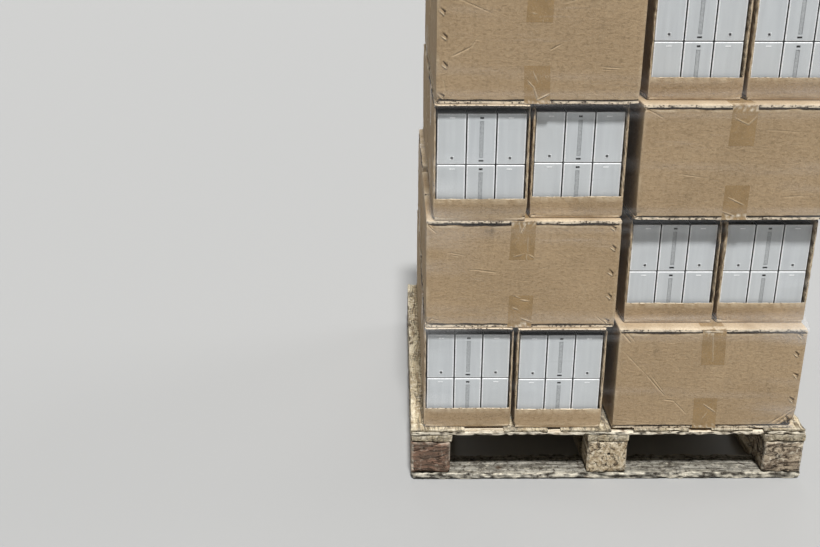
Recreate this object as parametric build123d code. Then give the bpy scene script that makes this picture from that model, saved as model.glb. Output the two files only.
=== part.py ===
from build123d import *
import os

# A pallet load of corrugated cartons: four layers of eight cartons on a square wooden pallet, wound
# in clear stretch film. In every layer, two blocks of two cartons lie across the pallet and two stand
# end-on, and the layers alternate. The end-on cartons at the front are display cartons: their front
# panel is cut away down to a lip and shows two rows of three white packs.
# Millimetres, +Z up. The front faces -Y. The origin is on the floor, under the middle of the pallet.

# Pallet timber. The pallet's width and depth follow from the cartons that stand on it.
side_margin = 36.0
depth_room = 102.0
base_thick = 22.0
base_board_width = 102.0
block_width = 111.0
block_depth = 98.0
block_height = 99.0
block_chamfer = 6.0
stringer_thick = 20.0
stringer_width = 116.0
cross_thick = 11.0
cross_width = 120.0
slat_thick = 7.0
slat_widths = [150.0, 123.0, 142.0, 156.0, 120.0, 120.0]
slat_gap_shares = [0.37, 0.12, 0.21, 0.21, 0.09]
timber_chamfer = 2.0

# Cartons: length is the long side, and the flaps that close them fold over from the short ends
carton_length = 506.0
carton_width = 242.0
carton_height = 299.0
board_thick = 6.0
flap_inset = 2.0
flap_seam = 2.0
flap_corner = 8.0
fold_chamfer = 3.0
lip_height = 57.0

# Packs in the display cartons
pack_depth = 118.0
pack_gap = 2.5
pack_side_room = 3.0
pack_top_room = 12.0
pack_recess = 14.0
pack_chamfer = 3.0
slot_width = 14.0
slot_height = 4.0
slot_depth = 3.0
slot_from_edge = 8.0
groove_width = 10.0
groove_depth = 0.8
groove_slot_gap = 5.0

# Packing tape, one band over the top and one under the bottom of each carton
tape_width = 64.0
tape_thick = 0.3
tape_tab_top = 107.0
tape_tab_bottom = 96.0

# How the layers are stacked, from the bottom layer up: how far each is shifted to the right, and how far its
# front cartons stand behind the pallet's front (for the display cartons, the left and the right one)
layer_shift = [-1.0, 2.0, 18.0, 22.0]
across_front = [6.0, 20.0, 27.0, 31.0]
display_front = [(18.0, 12.0), (52.0, 52.0), (24.0, 45.0), (85.0, 85.0)]
across_back = 8.0
end_back = 12.0
column_gap = 30.0
carton_gap = 8.0

# Stretch film
film_thick = 0.5
film_room = 0.3
film_corner = 3.0
film_slope = 24.0
film_above_deck = 2.0

# How far a cutting box reaches past the face it cuts, and how close an edge must be to be picked
overcut = 1.0
near = 0.01

stack_step = carton_height + 2 * tape_thick
pair_width = 2 * carton_width + carton_gap
layer_width = carton_length + column_gap + pair_width
layer_count = len(layer_shift)
pallet_width = layer_width + 2 * side_margin
pallet_depth = carton_length + pair_width + depth_room
pack_width = (carton_width - 2 * (board_thick + pack_side_room + pack_gap)) / 3
pack_height = (carton_height - 4 * board_thick - pack_top_room) / 2
block_base_z = base_thick
stringer_z = block_base_z + block_height
cross_z = stringer_z + stringer_thick
slat_z = cross_z + cross_thick
deck_z = slat_z + slat_thick
left_x = -pallet_width / 2
right_x = pallet_width / 2
front_y = -pallet_depth / 2
back_y = pallet_depth / 2


def box(x0, x1, y0, y1, z0, z1):
    """A box between two corners."""
    return Pos(x0, y0, z0) * Box(x1 - x0, y1 - y0, z1 - z0, align=(Align.MIN, Align.MIN, Align.MIN))


def save(name, solids):
    """Writes one named piece, or several like pieces that share a name."""
    shape = solids[0] if len(solids) == 1 else Compound(solids)
    export_step(shape, f"parts/{name}.step")


# Pallet

def board(x0, x1, y0, y1, z0, z1):
    """A sawn board with its long edges broken."""
    plank = box(x0, x1, y0, y1, z0, z1)
    along = Axis.X if x1 - x0 > y1 - y0 else Axis.Y
    return chamfer(plank.edges().filter_by(along), timber_chamfer)


def block(centre_x, y0):
    """A pallet block with worn upright corners, from its front face y0 backwards."""
    half = block_width / 2
    body = box(centre_x - half, centre_x + half, y0, y0 + block_depth, block_base_z, stringer_z)
    return chamfer(body.edges().filter_by(Axis.Z), block_chamfer)


def pallet():
    """Base boards, nine blocks, boards over the blocks, cross boards and deck slats."""
    runner_front = front_y + base_board_width
    runner_back = back_y - base_board_width
    save("base_board_front", [board(left_x, right_x, front_y, runner_front, 0, base_thick)])
    save("base_board_back", [board(left_x, right_x, runner_back, back_y, 0, base_thick)])
    outer = (pallet_width - block_width) / 2
    outer_stringer = (pallet_width - stringer_width) / 2
    columns = {"left": -1, "middle": 0, "right": 1}
    rows = {"front": front_y, "middle": -block_depth / 2, "back": back_y - block_depth}
    for column, side in columns.items():
        centre = side * outer
        x0 = centre - block_width / 2
        save(f"base_runner_{column}", [board(x0, x0 + block_width, runner_front, runner_back, 0, base_thick)])
        for row, y0 in rows.items():
            save(f"block_{row}_{column}", [block(centre, y0)])
        s0 = side * outer_stringer - stringer_width / 2
        stringer = board(s0, s0 + stringer_width, front_y, back_y, stringer_z, cross_z)
        save(f"stringer_board_{column}", [stringer])
    for row, y0 in {"front": front_y, "middle": -cross_width / 2, "back": back_y - cross_width}.items():
        save(f"cross_board_{row}", [board(left_x, right_x, y0, y0 + cross_width, cross_z, slat_z)])
    save("deck_slats", deck_slats())


def deck_slats():
    """Slats of uneven width, laid front to back, that share out what is left of the width as gaps."""
    spare = pallet_width - sum(slat_widths)
    gaps = [spare * share / sum(slat_gap_shares) for share in slat_gap_shares] + [0.0]
    slats = []
    x = left_x
    for width, gap in zip(slat_widths, gaps):
        slats.append(board(x, x + width, front_y, back_y, slat_z, deck_z))
        x += width + gap
    return slats


# Cartons. Each is drawn with its length along X, its width along Y and its bottom middle at the origin.

def flap(end, z0, outside):
    """One outer flap of the top or bottom: it folds over the short end and stops at the middle seam."""
    x_fold = end * carton_length / 2
    x_seam = end * flap_seam / 2
    half = carton_width / 2 - flap_inset
    plate = box(min(x_fold, x_seam), max(x_fold, x_seam), -half, half, z0, z0 + board_thick)
    at_end = plate.edges().filter_by_position(Axis.X, x_fold - near, x_fold + near)
    plate = chamfer(at_end.filter_by(Axis.Z), flap_corner)
    fold_z = z0 + board_thick if outside > 0 else z0
    fold = plate.edges().filter_by(Axis.Y).filter_by_position(Axis.Z, fold_z - near, fold_z + near)
    fold = fold.filter_by_position(Axis.X, x_fold - near, x_fold + near)
    return chamfer(fold, fold_chamfer)


def carton_blank():
    """Walls and inner flaps as one block, with folded edges, and the four outer flaps on it."""
    top = carton_height - board_thick
    half_l = carton_length / 2
    half_w = carton_width / 2
    walls = box(-half_l, half_l, -half_w, half_w, board_thick, top)
    walls = chamfer(walls.edges().filter_by(Axis.Z) + walls.edges().filter_by(Axis.X), fold_chamfer)
    flaps = [flap(end, 0, -1) for end in (-1, 1)] + [flap(end, top, 1) for end in (-1, 1)]
    return walls.fuse(*flaps)


def display_carton():
    """The same carton, hollow, with its panel at -X cut away down to the lip."""
    skin = 2 * board_thick
    front = -carton_length / 2
    half_w = carton_width / 2
    inner = half_w - board_thick
    hollow = box(front + board_thick, -front - board_thick, -inner, inner, skin, carton_height - skin)
    behind = front + board_thick + overcut
    window = box(front - overcut, behind, -inner, inner, lip_height, carton_height - skin)
    # Above the lip the side walls end in a square cut edge, set back by the depth of the corner fold
    edge_y = half_w + overcut
    edge_z = carton_height - board_thick
    cut = box(front - overcut, front + fold_chamfer, -edge_y, edge_y, lip_height, edge_z)
    return carton_blank() - hollow - window - cut


def pack():
    """A white pack, with its face at y = 0 and its bottom left corner at the origin."""
    body = box(0, pack_width, 0, pack_depth, 0, pack_height)
    return chamfer(body.edges(), pack_chamfer)


def slotted_pack():
    """The middle pack: a slot near the top and bottom of its face, and a shallow groove between them."""
    x0 = (pack_width - slot_width) / 2
    z_top = pack_height - slot_from_edge - slot_height
    x1 = x0 + slot_width
    slots = [box(x0, x1, -overcut, slot_depth, z, z + slot_height) for z in (slot_from_edge, z_top)]
    g0 = (pack_width - groove_width) / 2
    g_low = slot_from_edge + slot_height + groove_slot_gap
    groove = box(g0, g0 + groove_width, -overcut, groove_depth, g_low, z_top - groove_slot_gap)
    return pack() - slots[0] - slots[1] - groove


def pack_front():
    """Two rows of three packs, seated on the floor of a display carton whose window faces -Y."""
    floor_z = 2 * board_thick
    x_start = -carton_width / 2 + board_thick + pack_side_room
    y_face = -carton_length / 2 + pack_recess
    packs = []
    for row in range(2):
        for column in range(3):
            shape = slotted_pack() if column == 1 else pack()
            x = x_start + column * (pack_width + pack_gap)
            packs.append(Pos(x, y_face, floor_z + row * pack_height) * shape)
    return packs


def inner_packs():
    """The packs behind the front ones, as one plain block."""
    x0 = -carton_width / 2 + board_thick + pack_side_room
    x1 = x0 + 3 * pack_width + 2 * pack_gap
    y0 = -carton_length / 2 + pack_recess + pack_depth + pack_gap
    y1 = carton_length / 2 - board_thick - pack_gap
    floor_z = 2 * board_thick
    return box(x0, x1, y0, y1, floor_z, floor_z + 2 * pack_height)


def tape_bands():
    """The top band and the bottom band of tape, across the middle of a carton that lies along X."""
    half_t = tape_width / 2
    inner = carton_width / 2
    outer = inner + tape_thick
    bands = []
    for z_face, reach, way in ((carton_height, tape_tab_top, 1), (0.0, tape_tab_bottom, -1)):
        z_out = z_face + way * tape_thick
        z_end = z_face - way * reach
        z0, z1 = min(z_out, z_end), max(z_out, z_end)
        loop = box(-half_t, half_t, -outer, outer, z0, z1)
        z_in = z_end - way * overcut
        reach_x = half_t + overcut
        keep_out = box(-reach_x, reach_x, -inner, inner, min(z_in, z_face), max(z_in, z_face))
        bands.append(loop - keep_out)
    return bands


# Layers

def spots(index):
    """Where the eight cartons of a layer stand: their middle, and whether they lie across the pallet."""
    shift = layer_shift[index]
    display_side = -1 if index % 2 == 0 else 1
    x_edge = shift + display_side * layer_width / 2
    pair_x = [x_edge - display_side * (carton_width * (k + 0.5) + carton_gap * k) for k in (0, 1)]
    across_x = shift - display_side * (layer_width / 2 - carton_length / 2)
    far_pair_x = [2 * shift - x for x in pair_x]
    far_across_x = 2 * shift - across_x
    step = carton_width + carton_gap
    front_row = front_y + across_front[index] + carton_width / 2
    back_row = back_y - across_back - carton_width / 2
    display_y = [front_y + inset + carton_length / 2 for inset in display_front[index]]
    end_y = back_y - end_back - carton_length / 2
    return {
        "display": list(zip(sorted(pair_x), display_y)),
        "front_across": [(across_x, front_row), (across_x, front_row + step)],
        "back_across": [(far_across_x, back_row), (far_across_x, back_row - step)],
        "back_end_on": [(x, end_y) for x in sorted(far_pair_x)],
    }


def layer(index, closed, display, packs, core, bands):
    """One layer of eight cartons, with its tape and the packs in its two display cartons."""
    name = f"layer{index + 1}"
    z = deck_z + tape_thick + index * stack_step
    place = spots(index)
    end_on = Rot(0, 0, 90)
    tape = []
    for group, where in place.items():
        across = group in ("front_across", "back_across")
        for x, y in where:
            at = Pos(x, y, z) if across else Pos(x, y, z) * end_on
            tape += [at * band for band in bands]
        if across:
            save(f"{name}_{group}_cartons", [Pos(x, y, z) * closed for x, y in where])
        elif group == "back_end_on":
            save(f"{name}_{group}_cartons", [Pos(x, y, z) * end_on * closed for x, y in where])
    cores = []
    for side, (x, y) in zip(("left", "right"), place["display"]):
        save(f"{name}_display_carton_{side}", [Pos(x, y, z) * end_on * display])
        save(f"{name}_packs_{side}", [Pos(x, y, z) * item for item in packs])
        cores.append(Pos(x, y, z) * core)
    save(f"{name}_inner_packs", cores)
    save(f"{name}_tape", tape)


def layer_reach(index):
    """A layer's sides, how far forward its left, middle and right come, and where its front row ends."""
    half = layer_width / 2
    shift = layer_shift[index]
    display_side = -1 if index % 2 == 0 else 1
    row_y = front_y + across_front[index]
    pair_y = front_y + min(display_front[index])
    row_end = shift - display_side * (half - carton_length)
    turns = sorted((row_end, row_end - display_side * column_gap))
    left_y, right_y = (pair_y, row_y) if display_side < 0 else (row_y, pair_y)
    return [shift - half, shift + half, left_y, min(row_y, pair_y), right_y, turns]


def film_section(reach, room, z):
    """The film's line at one height, with its corners cut: front left, two turns, front right and the back."""
    x0, x1 = reach[0] - room, reach[1] + room
    left_y, middle_y, right_y = [y - room for y in reach[2:5]]
    back = back_y - across_back + room
    c = film_corner
    points = [(x0, left_y + c), (x0 + c, left_y), (reach[5][0], middle_y), (reach[5][1], middle_y)]
    points += [(x1 - c, right_y), (x1, right_y + c), (x1, back - c), (x1 - c, back)]
    points += [(x0 + c, back), (x0, back - c)]
    return Wire.make_polygon([Vector(x, y, z) for x, y in points], close=True)


def film_body(room, past):
    """The room inside the film's line at every height: along each layer, and sloping from layer to layer."""
    reaches = [layer_reach(index) for index in range(layer_count)]
    sections = [film_section(reaches[0], room, deck_z + film_above_deck - past)]
    for index in range(layer_count - 1):
        lower, upper = reaches[index], reaches[index + 1]
        z = deck_z + (index + 1) * stack_step
        nearest = [min(a, b) for a, b in zip(lower[2:5], upper[2:5])]
        both = [min(lower[0], upper[0]), max(lower[1], upper[1])] + nearest + [lower[5]]
        sections.append(film_section(lower, room, z - film_slope))
        sections.append(film_section(both, room, z))
        sections.append(film_section(upper, room, z + film_slope))
    sections.append(film_section(reaches[-1], room, deck_z + layer_count * stack_step + past))
    return Solid.make_loft(sections, ruled=True)


def stretch_film():
    """The film as a thin sleeve that follows the layers, clear of the tape by a little room."""
    room = tape_thick + film_room
    return film_body(room + film_thick, 0) - film_body(room, overcut)


def main():
    os.makedirs("parts", exist_ok=True)
    pallet()
    closed = carton_blank()
    display = display_carton()
    packs = pack_front()
    core = inner_packs()
    bands = tape_bands()
    for index in range(layer_count):
        layer(index, closed, display, packs, core, bands)
    save("stretch_film", [stretch_film()])


main()
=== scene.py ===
# %% [markdown]
# # A wrapped pallet load
# A wooden pallet carries four layers of corrugated cartons. In each layer two cartons at the front are
# display cartons with white packs in a cut-out window. Clear film is wound round the whole load. The script
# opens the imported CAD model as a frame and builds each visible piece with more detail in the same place.

# %% Open the frame
import math
import random
import bmesh
import bpy
from mathutils import Matrix, Vector, noise


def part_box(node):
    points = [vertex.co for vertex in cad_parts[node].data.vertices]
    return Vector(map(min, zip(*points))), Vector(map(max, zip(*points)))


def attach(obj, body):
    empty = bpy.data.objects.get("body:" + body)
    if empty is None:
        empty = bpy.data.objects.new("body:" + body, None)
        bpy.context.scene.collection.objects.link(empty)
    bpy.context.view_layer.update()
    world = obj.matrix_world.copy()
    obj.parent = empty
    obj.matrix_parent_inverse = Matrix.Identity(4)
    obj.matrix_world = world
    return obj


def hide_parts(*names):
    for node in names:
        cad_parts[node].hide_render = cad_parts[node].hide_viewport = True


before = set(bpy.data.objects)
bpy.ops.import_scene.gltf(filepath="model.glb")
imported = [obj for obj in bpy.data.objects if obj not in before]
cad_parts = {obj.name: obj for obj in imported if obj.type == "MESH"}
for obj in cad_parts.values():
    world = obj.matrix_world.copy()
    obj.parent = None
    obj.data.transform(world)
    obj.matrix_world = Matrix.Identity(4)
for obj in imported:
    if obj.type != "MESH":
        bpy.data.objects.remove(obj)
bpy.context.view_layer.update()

# %% [markdown]
# ## Sizes
# These are the CAD model's sizes in metres, and the radius that its folds get here. Cartons are drawn with
# their length along X, their width along Y and the bottom middle at the origin, and are then moved to where
# the CAD model has them.

# %% Sizes of a carton, its tape and its packs
LONG = 0.506
WIDE = 0.242
TALL = 0.299
BOARD = 0.006
LIP = 0.057
FOLD_RADIUS = 0.0035
FLAP_INSET = 0.002
TAPE_WIDE = 0.064
TAB_TOP = 0.107
TAB_BOTTOM = 0.096
PACK_TALL = 0.1315
LAYERS = 4
print("carton", LONG, WIDE, TALL)

# %% [markdown]
# ## Finding the cartons
# A CAD node can hold two cartons or six packs as separate solids. Walking along the edges from one vertex
# finds all the vertices of one solid, and their lowest and highest corners say where that carton or pack
# stands.


# %% Boxes of the separate solids in a CAD node
def solids_of(node):
    bm = bmesh.new()
    bm.from_mesh(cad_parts[node].data)
    bmesh.ops.remove_doubles(bm, verts=bm.verts, dist=1e-6)
    left = set(bm.verts)
    boxes = []
    while left:
        group = []
        todo = [left.pop()]
        while todo:
            vert = todo.pop()
            group.append(vert.co.copy())
            for edge in vert.link_edges:
                other = edge.other_vert(vert)
                if other in left:
                    left.remove(other)
                    todo.append(other)
        low = Vector([min(co[k] for co in group) for k in range(3)])
        high = Vector([max(co[k] for co in group) for k in range(3)])
        boxes.append((low, high))
    bm.free()
    return sorted(boxes, key=lambda b: (round(b[0].y, 3), round(b[0].x, 3), round(b[0].z, 3)))


print("slats", len(solids_of("deck_slats")))

# %% [markdown]
# ## Small mesh helpers
# `cut_grid` slices a shape with planes, so that flat board gets enough vertices to be dented later. Wear and
# painted highlights, grime and painted shade, and the piece's own number are painted on the vertices, for the
# materials to read. `as_piece` turns a finished bmesh into an object that rides on the frame and stands for a
# CAD node.


# %% Slice a shape at several stations along one axis
def cut_grid(bm, axis, stations, keep=None):
    normal = [0, 0, 0]
    normal[axis] = 1
    for station in stations:
        faces = [f for f in bm.faces if keep is None or keep(f)]
        geom = set(faces)
        for f in faces:
            geom.update(f.edges)
            geom.update(f.verts)
        place = [0, 0, 0]
        place[axis] = station
        bmesh.ops.bisect_plane(bm, geom=list(geom), dist=1e-5, plane_co=place, plane_no=normal)


def stations(low, high, step):
    """Even stations between low and high, about a step apart, without the two ends."""
    count = max(1, round((high - low) / step))
    return [low + (high - low) * k / count for k in range(1, count)]


# %% Small shapes and edges
def block_of(low, high):
    bm = bmesh.new()
    bmesh.ops.create_cube(bm, size=1)
    low, high = Vector(low), Vector(high)
    bmesh.ops.scale(bm, vec=high - low, verts=bm.verts)
    bmesh.ops.translate(bm, vec=(low + high) / 2, verts=bm.verts)
    return bm


def round_edges(bm, edges, radius, segments):
    bmesh.ops.bevel(bm, geom=edges, offset=radius, offset_type="OFFSET", segments=segments, profile=0.5,
                    affect="EDGES", material=-1)


def runs_along(edge, axis):
    step = edge.verts[0].co - edge.verts[1].co
    return abs(step[axis]) > 0.99 * step.length


def join_into(target, source, matrix):
    """Adds a copy of source, moved by matrix, to target, with its attributes."""
    mesh = bpy.data.meshes.new("joined")
    source.to_mesh(mesh)
    mesh.transform(matrix)
    target.from_mesh(mesh)
    bpy.data.meshes.remove(mesh)


def paint_layers(bm):
    """The three numbers that are painted on the vertices."""
    layers = bm.verts.layers.float
    return [layers.get(name) or layers.new(name) for name in ("wear_and_highlight", "grime_and_shade", "piece")]


def in_range(value, low=0.0, high=1.0):
    return max(low, min(high, value))


# %% Turn a bmesh into a piece of the object
def as_piece(name, bm, materials, node, sharp=35):
    mesh = bpy.data.meshes.new(name)
    bm.to_mesh(mesh)
    bm.free()
    for material in materials:
        mesh.materials.append(material)
    mesh.shade_smooth()
    mesh.set_sharp_from_angle(angle=math.radians(sharp))
    piece = bpy.data.objects.new(name, mesh)
    bpy.context.scene.collection.objects.link(piece)
    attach(piece, "root")
    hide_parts(node)
    return piece


# %% [markdown]
# ## Node groups
# Board, tape and timber all need blotches, fine specks, and wear and grime that also carry painted highlights
# and shade. Each effect is a node group with named inputs that puts out a mask or a place, and every material
# uses it with its own values.


# %% Helpers that write shader nodes
def add_node(tree, kind, inputs=None, **settings):
    """Adds a node. An input that is a socket is linked, and any other is written on the node."""
    node = tree.nodes.new(kind)
    for key, value in settings.items():
        setattr(node, key, value)
    for key, value in (inputs or {}).items():
        if isinstance(value, bpy.types.NodeSocket):
            tree.links.new(value, node.inputs[key])
        else:
            node.inputs[key].default_value = value
    return node


def mathed(tree, operation, a, b=0.0, clamp=False):
    return add_node(tree, "ShaderNodeMath", {0: a, 1: b}, operation=operation, use_clamp=clamp).outputs[0]


def mixed(tree, amount, a, b):
    """Mixes colours a and b. On this node they are the inputs 6 and 7, and the mixed colour is output 2."""
    return add_node(tree, "ShaderNodeMix", {0: amount, 6: a, 7: b}, data_type="RGBA").outputs[2]


def ranged(tree, value, low, high, to_low=0.0, to_high=1.0):
    inputs = {0: value, 1: low, 2: high, 3: to_low, 4: to_high}
    return add_node(tree, "ShaderNodeMapRange", inputs, clamp=True).outputs[0]


def stretched(tree, vector, amounts):
    """Squeezes a pattern by an amount for each axis."""
    return add_node(tree, "ShaderNodeVectorMath", {0: vector, 1: amounts}, operation="MULTIPLY").outputs[0]


def noise_node(tree, vector, scale, detail, roughness=0.5, distortion=0.0):
    inputs = {"Vector": vector, "Scale": scale, "Detail": detail, "Roughness": roughness}
    return add_node(tree, "ShaderNodeTexNoise", dict(inputs, Distortion=distortion))


def noisy(*settings, **more):
    """A noise texture as a value from about 0 to 1."""
    return noise_node(*settings, **more).outputs[0]


# %% Helpers that make and use a node group
def new_group(name, inputs, outputs):
    """Makes a group. An input with a number as its default is a value, and any other is a vector."""
    tree = bpy.data.node_groups.new(name, "ShaderNodeTree")
    for label, default in inputs.items():
        kind = "NodeSocketFloat" if isinstance(default, float) else "NodeSocketVector"
        socket = tree.interface.new_socket(label, in_out="INPUT", socket_type=kind)
        if default is not None:
            socket.default_value = default
    for label in outputs:
        kind = "NodeSocketVector" if label == "Vector" else "NodeSocketFloat"
        tree.interface.new_socket(label, in_out="OUTPUT", socket_type=kind)
    return tree, tree.nodes.new("NodeGroupInput").outputs, tree.nodes.new("NodeGroupOutput").inputs


def use_group(tree, group, inputs):
    return add_node(tree, "ShaderNodeGroup", inputs, node_tree=group).outputs


# %% A place in the pattern that differs from piece to piece
own_place, given, result = new_group("own place", {}, ["Vector", "Tint"])
coords = add_node(own_place, "ShaderNodeTexCoord").outputs["Object"]
number = add_node(own_place, "ShaderNodeAttribute", attribute_name="piece").outputs["Fac"]
shifts = {axis: mathed(own_place, "MULTIPLY", number, step) for axis, step in enumerate((7.3, 3.1, 5.7))}
spread = add_node(own_place, "ShaderNodeCombineXYZ", shifts).outputs[0]
moved = add_node(own_place, "ShaderNodeVectorMath", {0: coords, 1: spread}, operation="ADD").outputs[0]
own_place.links.new(moved, result["Vector"])
tint = mathed(own_place, "FRACT", mathed(own_place, "MULTIPLY", number, 2.618))
own_place.links.new(tint, result["Tint"])

# %% Blotches: a soft mask with a chosen size
settings = {"Vector": None, "Scale": 5.0, "Low": 0.4, "High": 0.6}
blotches, given, result = new_group("blotches", settings, ["Mask"])
cloud = noisy(blotches, given["Vector"], given["Scale"], 6.0, 0.6)
blotches.links.new(ranged(blotches, cloud, given["Low"], given["High"]), result["Mask"])


def patches(tree, where, scale, low, high):
    """Soft blotches. The higher the noise must be for them, the fewer there are."""
    return use_group(tree, blotches, {"Vector": where, "Scale": scale, "Low": low, "High": high})["Mask"]


# %% Board fibre: short level ripples, specks, the faint upright lines of the flutes, and a mottled tone
fibre, given, result = new_group("board fibre", {"Vector": None}, ["Ripples", "Specks", "Flutes", "Mottle"])
level = stretched(fibre, given["Vector"], (38.0, 38.0, 105.0))
upright = stretched(fibre, given["Vector"], (150.0, 150.0, 9.0))
lain = stretched(fibre, given["Vector"], (120.0, 120.0, 170.0))
fibre.links.new(noisy(fibre, level, 1.0, 4.0, 0.6), result["Ripples"])
fibre.links.new(noisy(fibre, given["Vector"], 420.0, 2.0), result["Specks"])
fibre.links.new(noisy(fibre, upright, 1.0, 2.0), result["Flutes"])
fibre.links.new(noisy(fibre, lain, 1.0, 3.0, distortion=0.6), result["Mottle"])

# %% Wear and painted highlights, grime and painted shade, painted on the vertices when a piece is dented, with ragged edges
wear_dirt_and_light, given, result = new_group("wear_dirt_and_light", {"Vector": None}, ["Worn and lit", "Grimy and shaded"])
ragged = ranged(wear_dirt_and_light, noisy(wear_dirt_and_light, given["Vector"], 240.0, 4.0), 0.3, 0.62, 0.45, 1.0)
for label, layer in (("Worn and lit", "wear_and_highlight"), ("Grimy and shaded", "grime_and_shade")):
    painted = add_node(wear_dirt_and_light, "ShaderNodeAttribute", attribute_name=layer).outputs["Fac"]
    wear_dirt_and_light.links.new(mathed(wear_dirt_and_light, "MULTIPLY", painted, ragged, True), result[label])
print("node groups", [g.name for g in bpy.data.node_groups])


def with_wear_dirt_and_light(tree, where, colour, pale, dark):
    """Lays the painted rubbing, dirt, highlights and shade from the vertices over a colour."""
    marks = use_group(tree, wear_dirt_and_light, {"Vector": where})
    return mixed(tree, marks["Grimy and shaded"], mixed(tree, marks["Worn and lit"], colour, pale), dark)


# %% [markdown]
# ## Kraft board
# The cartons are brown kraft liner. It is matt, shows the flutes under it as faint upright lines, is darker
# in patches, and is pale where a fold or a crease has broken its skin. The pale along fold crests, flap edges
# and some creases is also a painted highlight, and the dark under the flaps and in some creases is painted
# shade. The colours stay close together, because the photo shows a calm, even brown.


# %% A material with its shader ready to wire
def new_material(name, roughness, shine=0.12):
    material = bpy.data.materials.new(name)
    material.use_nodes = True
    tree = material.node_tree
    shader = tree.nodes["Principled BSDF"]
    shader.inputs["Roughness"].default_value = roughness
    shader.inputs["Specular IOR Level"].default_value = shine
    return material, tree, shader


def bumped(tree, shader, height, strength, distance):
    bump = add_node(tree, "ShaderNodeBump", {"Height": height, "Strength": strength, "Distance": distance})
    tree.links.new(bump.outputs[0], shader.inputs["Normal"])


# %% Kraft liner
# The dark colour for grime, and for the painted shade under the flaps, in creases, joints and slots.
GRIME_AND_SHADE_DARK = (0.020, 0.013, 0.008, 1)


def kraft_material(name, pale, dark):
    material, tree, shader = new_material(name, 0.82)
    place = use_group(tree, own_place, {})
    where = place["Vector"]
    colour = mixed(tree, patches(tree, where, 6.0, 0.36, 0.66), pale, dark)
    colour = mixed(tree, mathed(tree, "MULTIPLY", place["Tint"], 0.4), colour, (0.385, 0.275, 0.165, 1))
    weave = use_group(tree, fibre, {"Vector": where})
    for pattern, low, high, strength, tone in (
            ("Ripples", 0.34, 0.66, 0.14, (0.235, 0.170, 0.100, 1)),
            ("Mottle", 0.50, 0.70, 0.42, (0.170, 0.120, 0.062, 1)),
            ("Mottle", 0.46, 0.30, 0.30, (0.440, 0.345, 0.220, 1)),
            ("Specks", 0.55, 0.75, 0.40, (0.175, 0.125, 0.070, 1)),
            ("Flutes", 0.40, 0.65, 0.10, (0.230, 0.165, 0.100, 1))):
        colour = mixed(tree, ranged(tree, weave[pattern], low, high, 0.0, strength), colour, tone)
    for scale, low, high, tone in (
            (19.0, 0.58, 0.72, (0.240, 0.180, 0.115, 1)),
            (13.0, 0.60, 0.75, (0.450, 0.345, 0.225, 1))):
        rubbed = patches(tree, where, scale, low, high)
        colour = mixed(tree, mathed(tree, "MULTIPLY", rubbed, 0.22), colour, tone)
    # The pale colour is rubbed board and painted highlights; the dark one is dirt and painted shade.
    colour = with_wear_dirt_and_light(tree, where, colour, (0.72, 0.60, 0.43, 1), GRIME_AND_SHADE_DARK)
    tree.links.new(colour, shader.inputs["Base Color"])
    tree.links.new(ranged(tree, weave["Specks"], 0.3, 0.7, 0.76, 0.90), shader.inputs["Roughness"])
    height = mathed(tree, "ADD", weave["Ripples"], mathed(tree, "MULTIPLY", weave["Flutes"], 0.25))
    bumped(tree, shader, mathed(tree, "ADD", height, weave["Mottle"]), 0.60, 0.0018)
    return material


kraft = kraft_material("kraft liner", (0.425, 0.305, 0.178, 1), (0.350, 0.248, 0.140, 1))


# %% Cut edge of the corrugated board
def cut_edge_material():
    material, tree, shader = new_material("corrugated cut edge", 0.9)
    where = use_group(tree, own_place, {})["Vector"]
    flutes = add_node(tree, "ShaderNodeTexWave",
                      {"Vector": where, "Scale": 42.0, "Distortion": 4.0, "Detail": 2.0},
                      wave_type="BANDS", bands_direction="X").outputs[1]
    fleck = noisy(tree, stretched(tree, where, (130.0, 150.0, 190.0)), 1.0, 3.0)
    banded = ranged(tree, flutes, 0.1, 0.8, 0.65, 1.0)
    shade = mathed(tree, "MULTIPLY", ranged(tree, fleck, 0.52, 0.59), banded)
    colour = mixed(tree, shade, (0.78, 0.66, 0.49, 1), (0.090, 0.060, 0.035, 1))
    # Painted shade from the vertices darkens the cut edges under the flaps.
    colour = mixed(tree, use_group(tree, wear_dirt_and_light, {"Vector": where})["Grimy and shaded"], colour, GRIME_AND_SHADE_DARK)
    tree.links.new(colour, shader.inputs["Base Color"])
    bumped(tree, shader, mathed(tree, "SUBTRACT", 1.0, shade), 0.6, 0.001)
    return material


cut_edge = cut_edge_material()

# %% [markdown]
# ## Tape, packs and film
# The tape is thin brown film: glossy, a little darker than the board, and milky where it has not stuck; along
# its creases and over the folds it also carries painted highlights. The packs are coated white board with a
# soft sheen;
# their rounded and raised edges carry painted highlights, and their joints, slots and groove outline painted
# shade.
# The film is almost invisible: it shows as pale streaks where it is stretched round corners, along the laps
# and where two layers meet, partly cloudy film and partly painted glints, so its alpha is close to zero
# except in those streaks.


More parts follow.
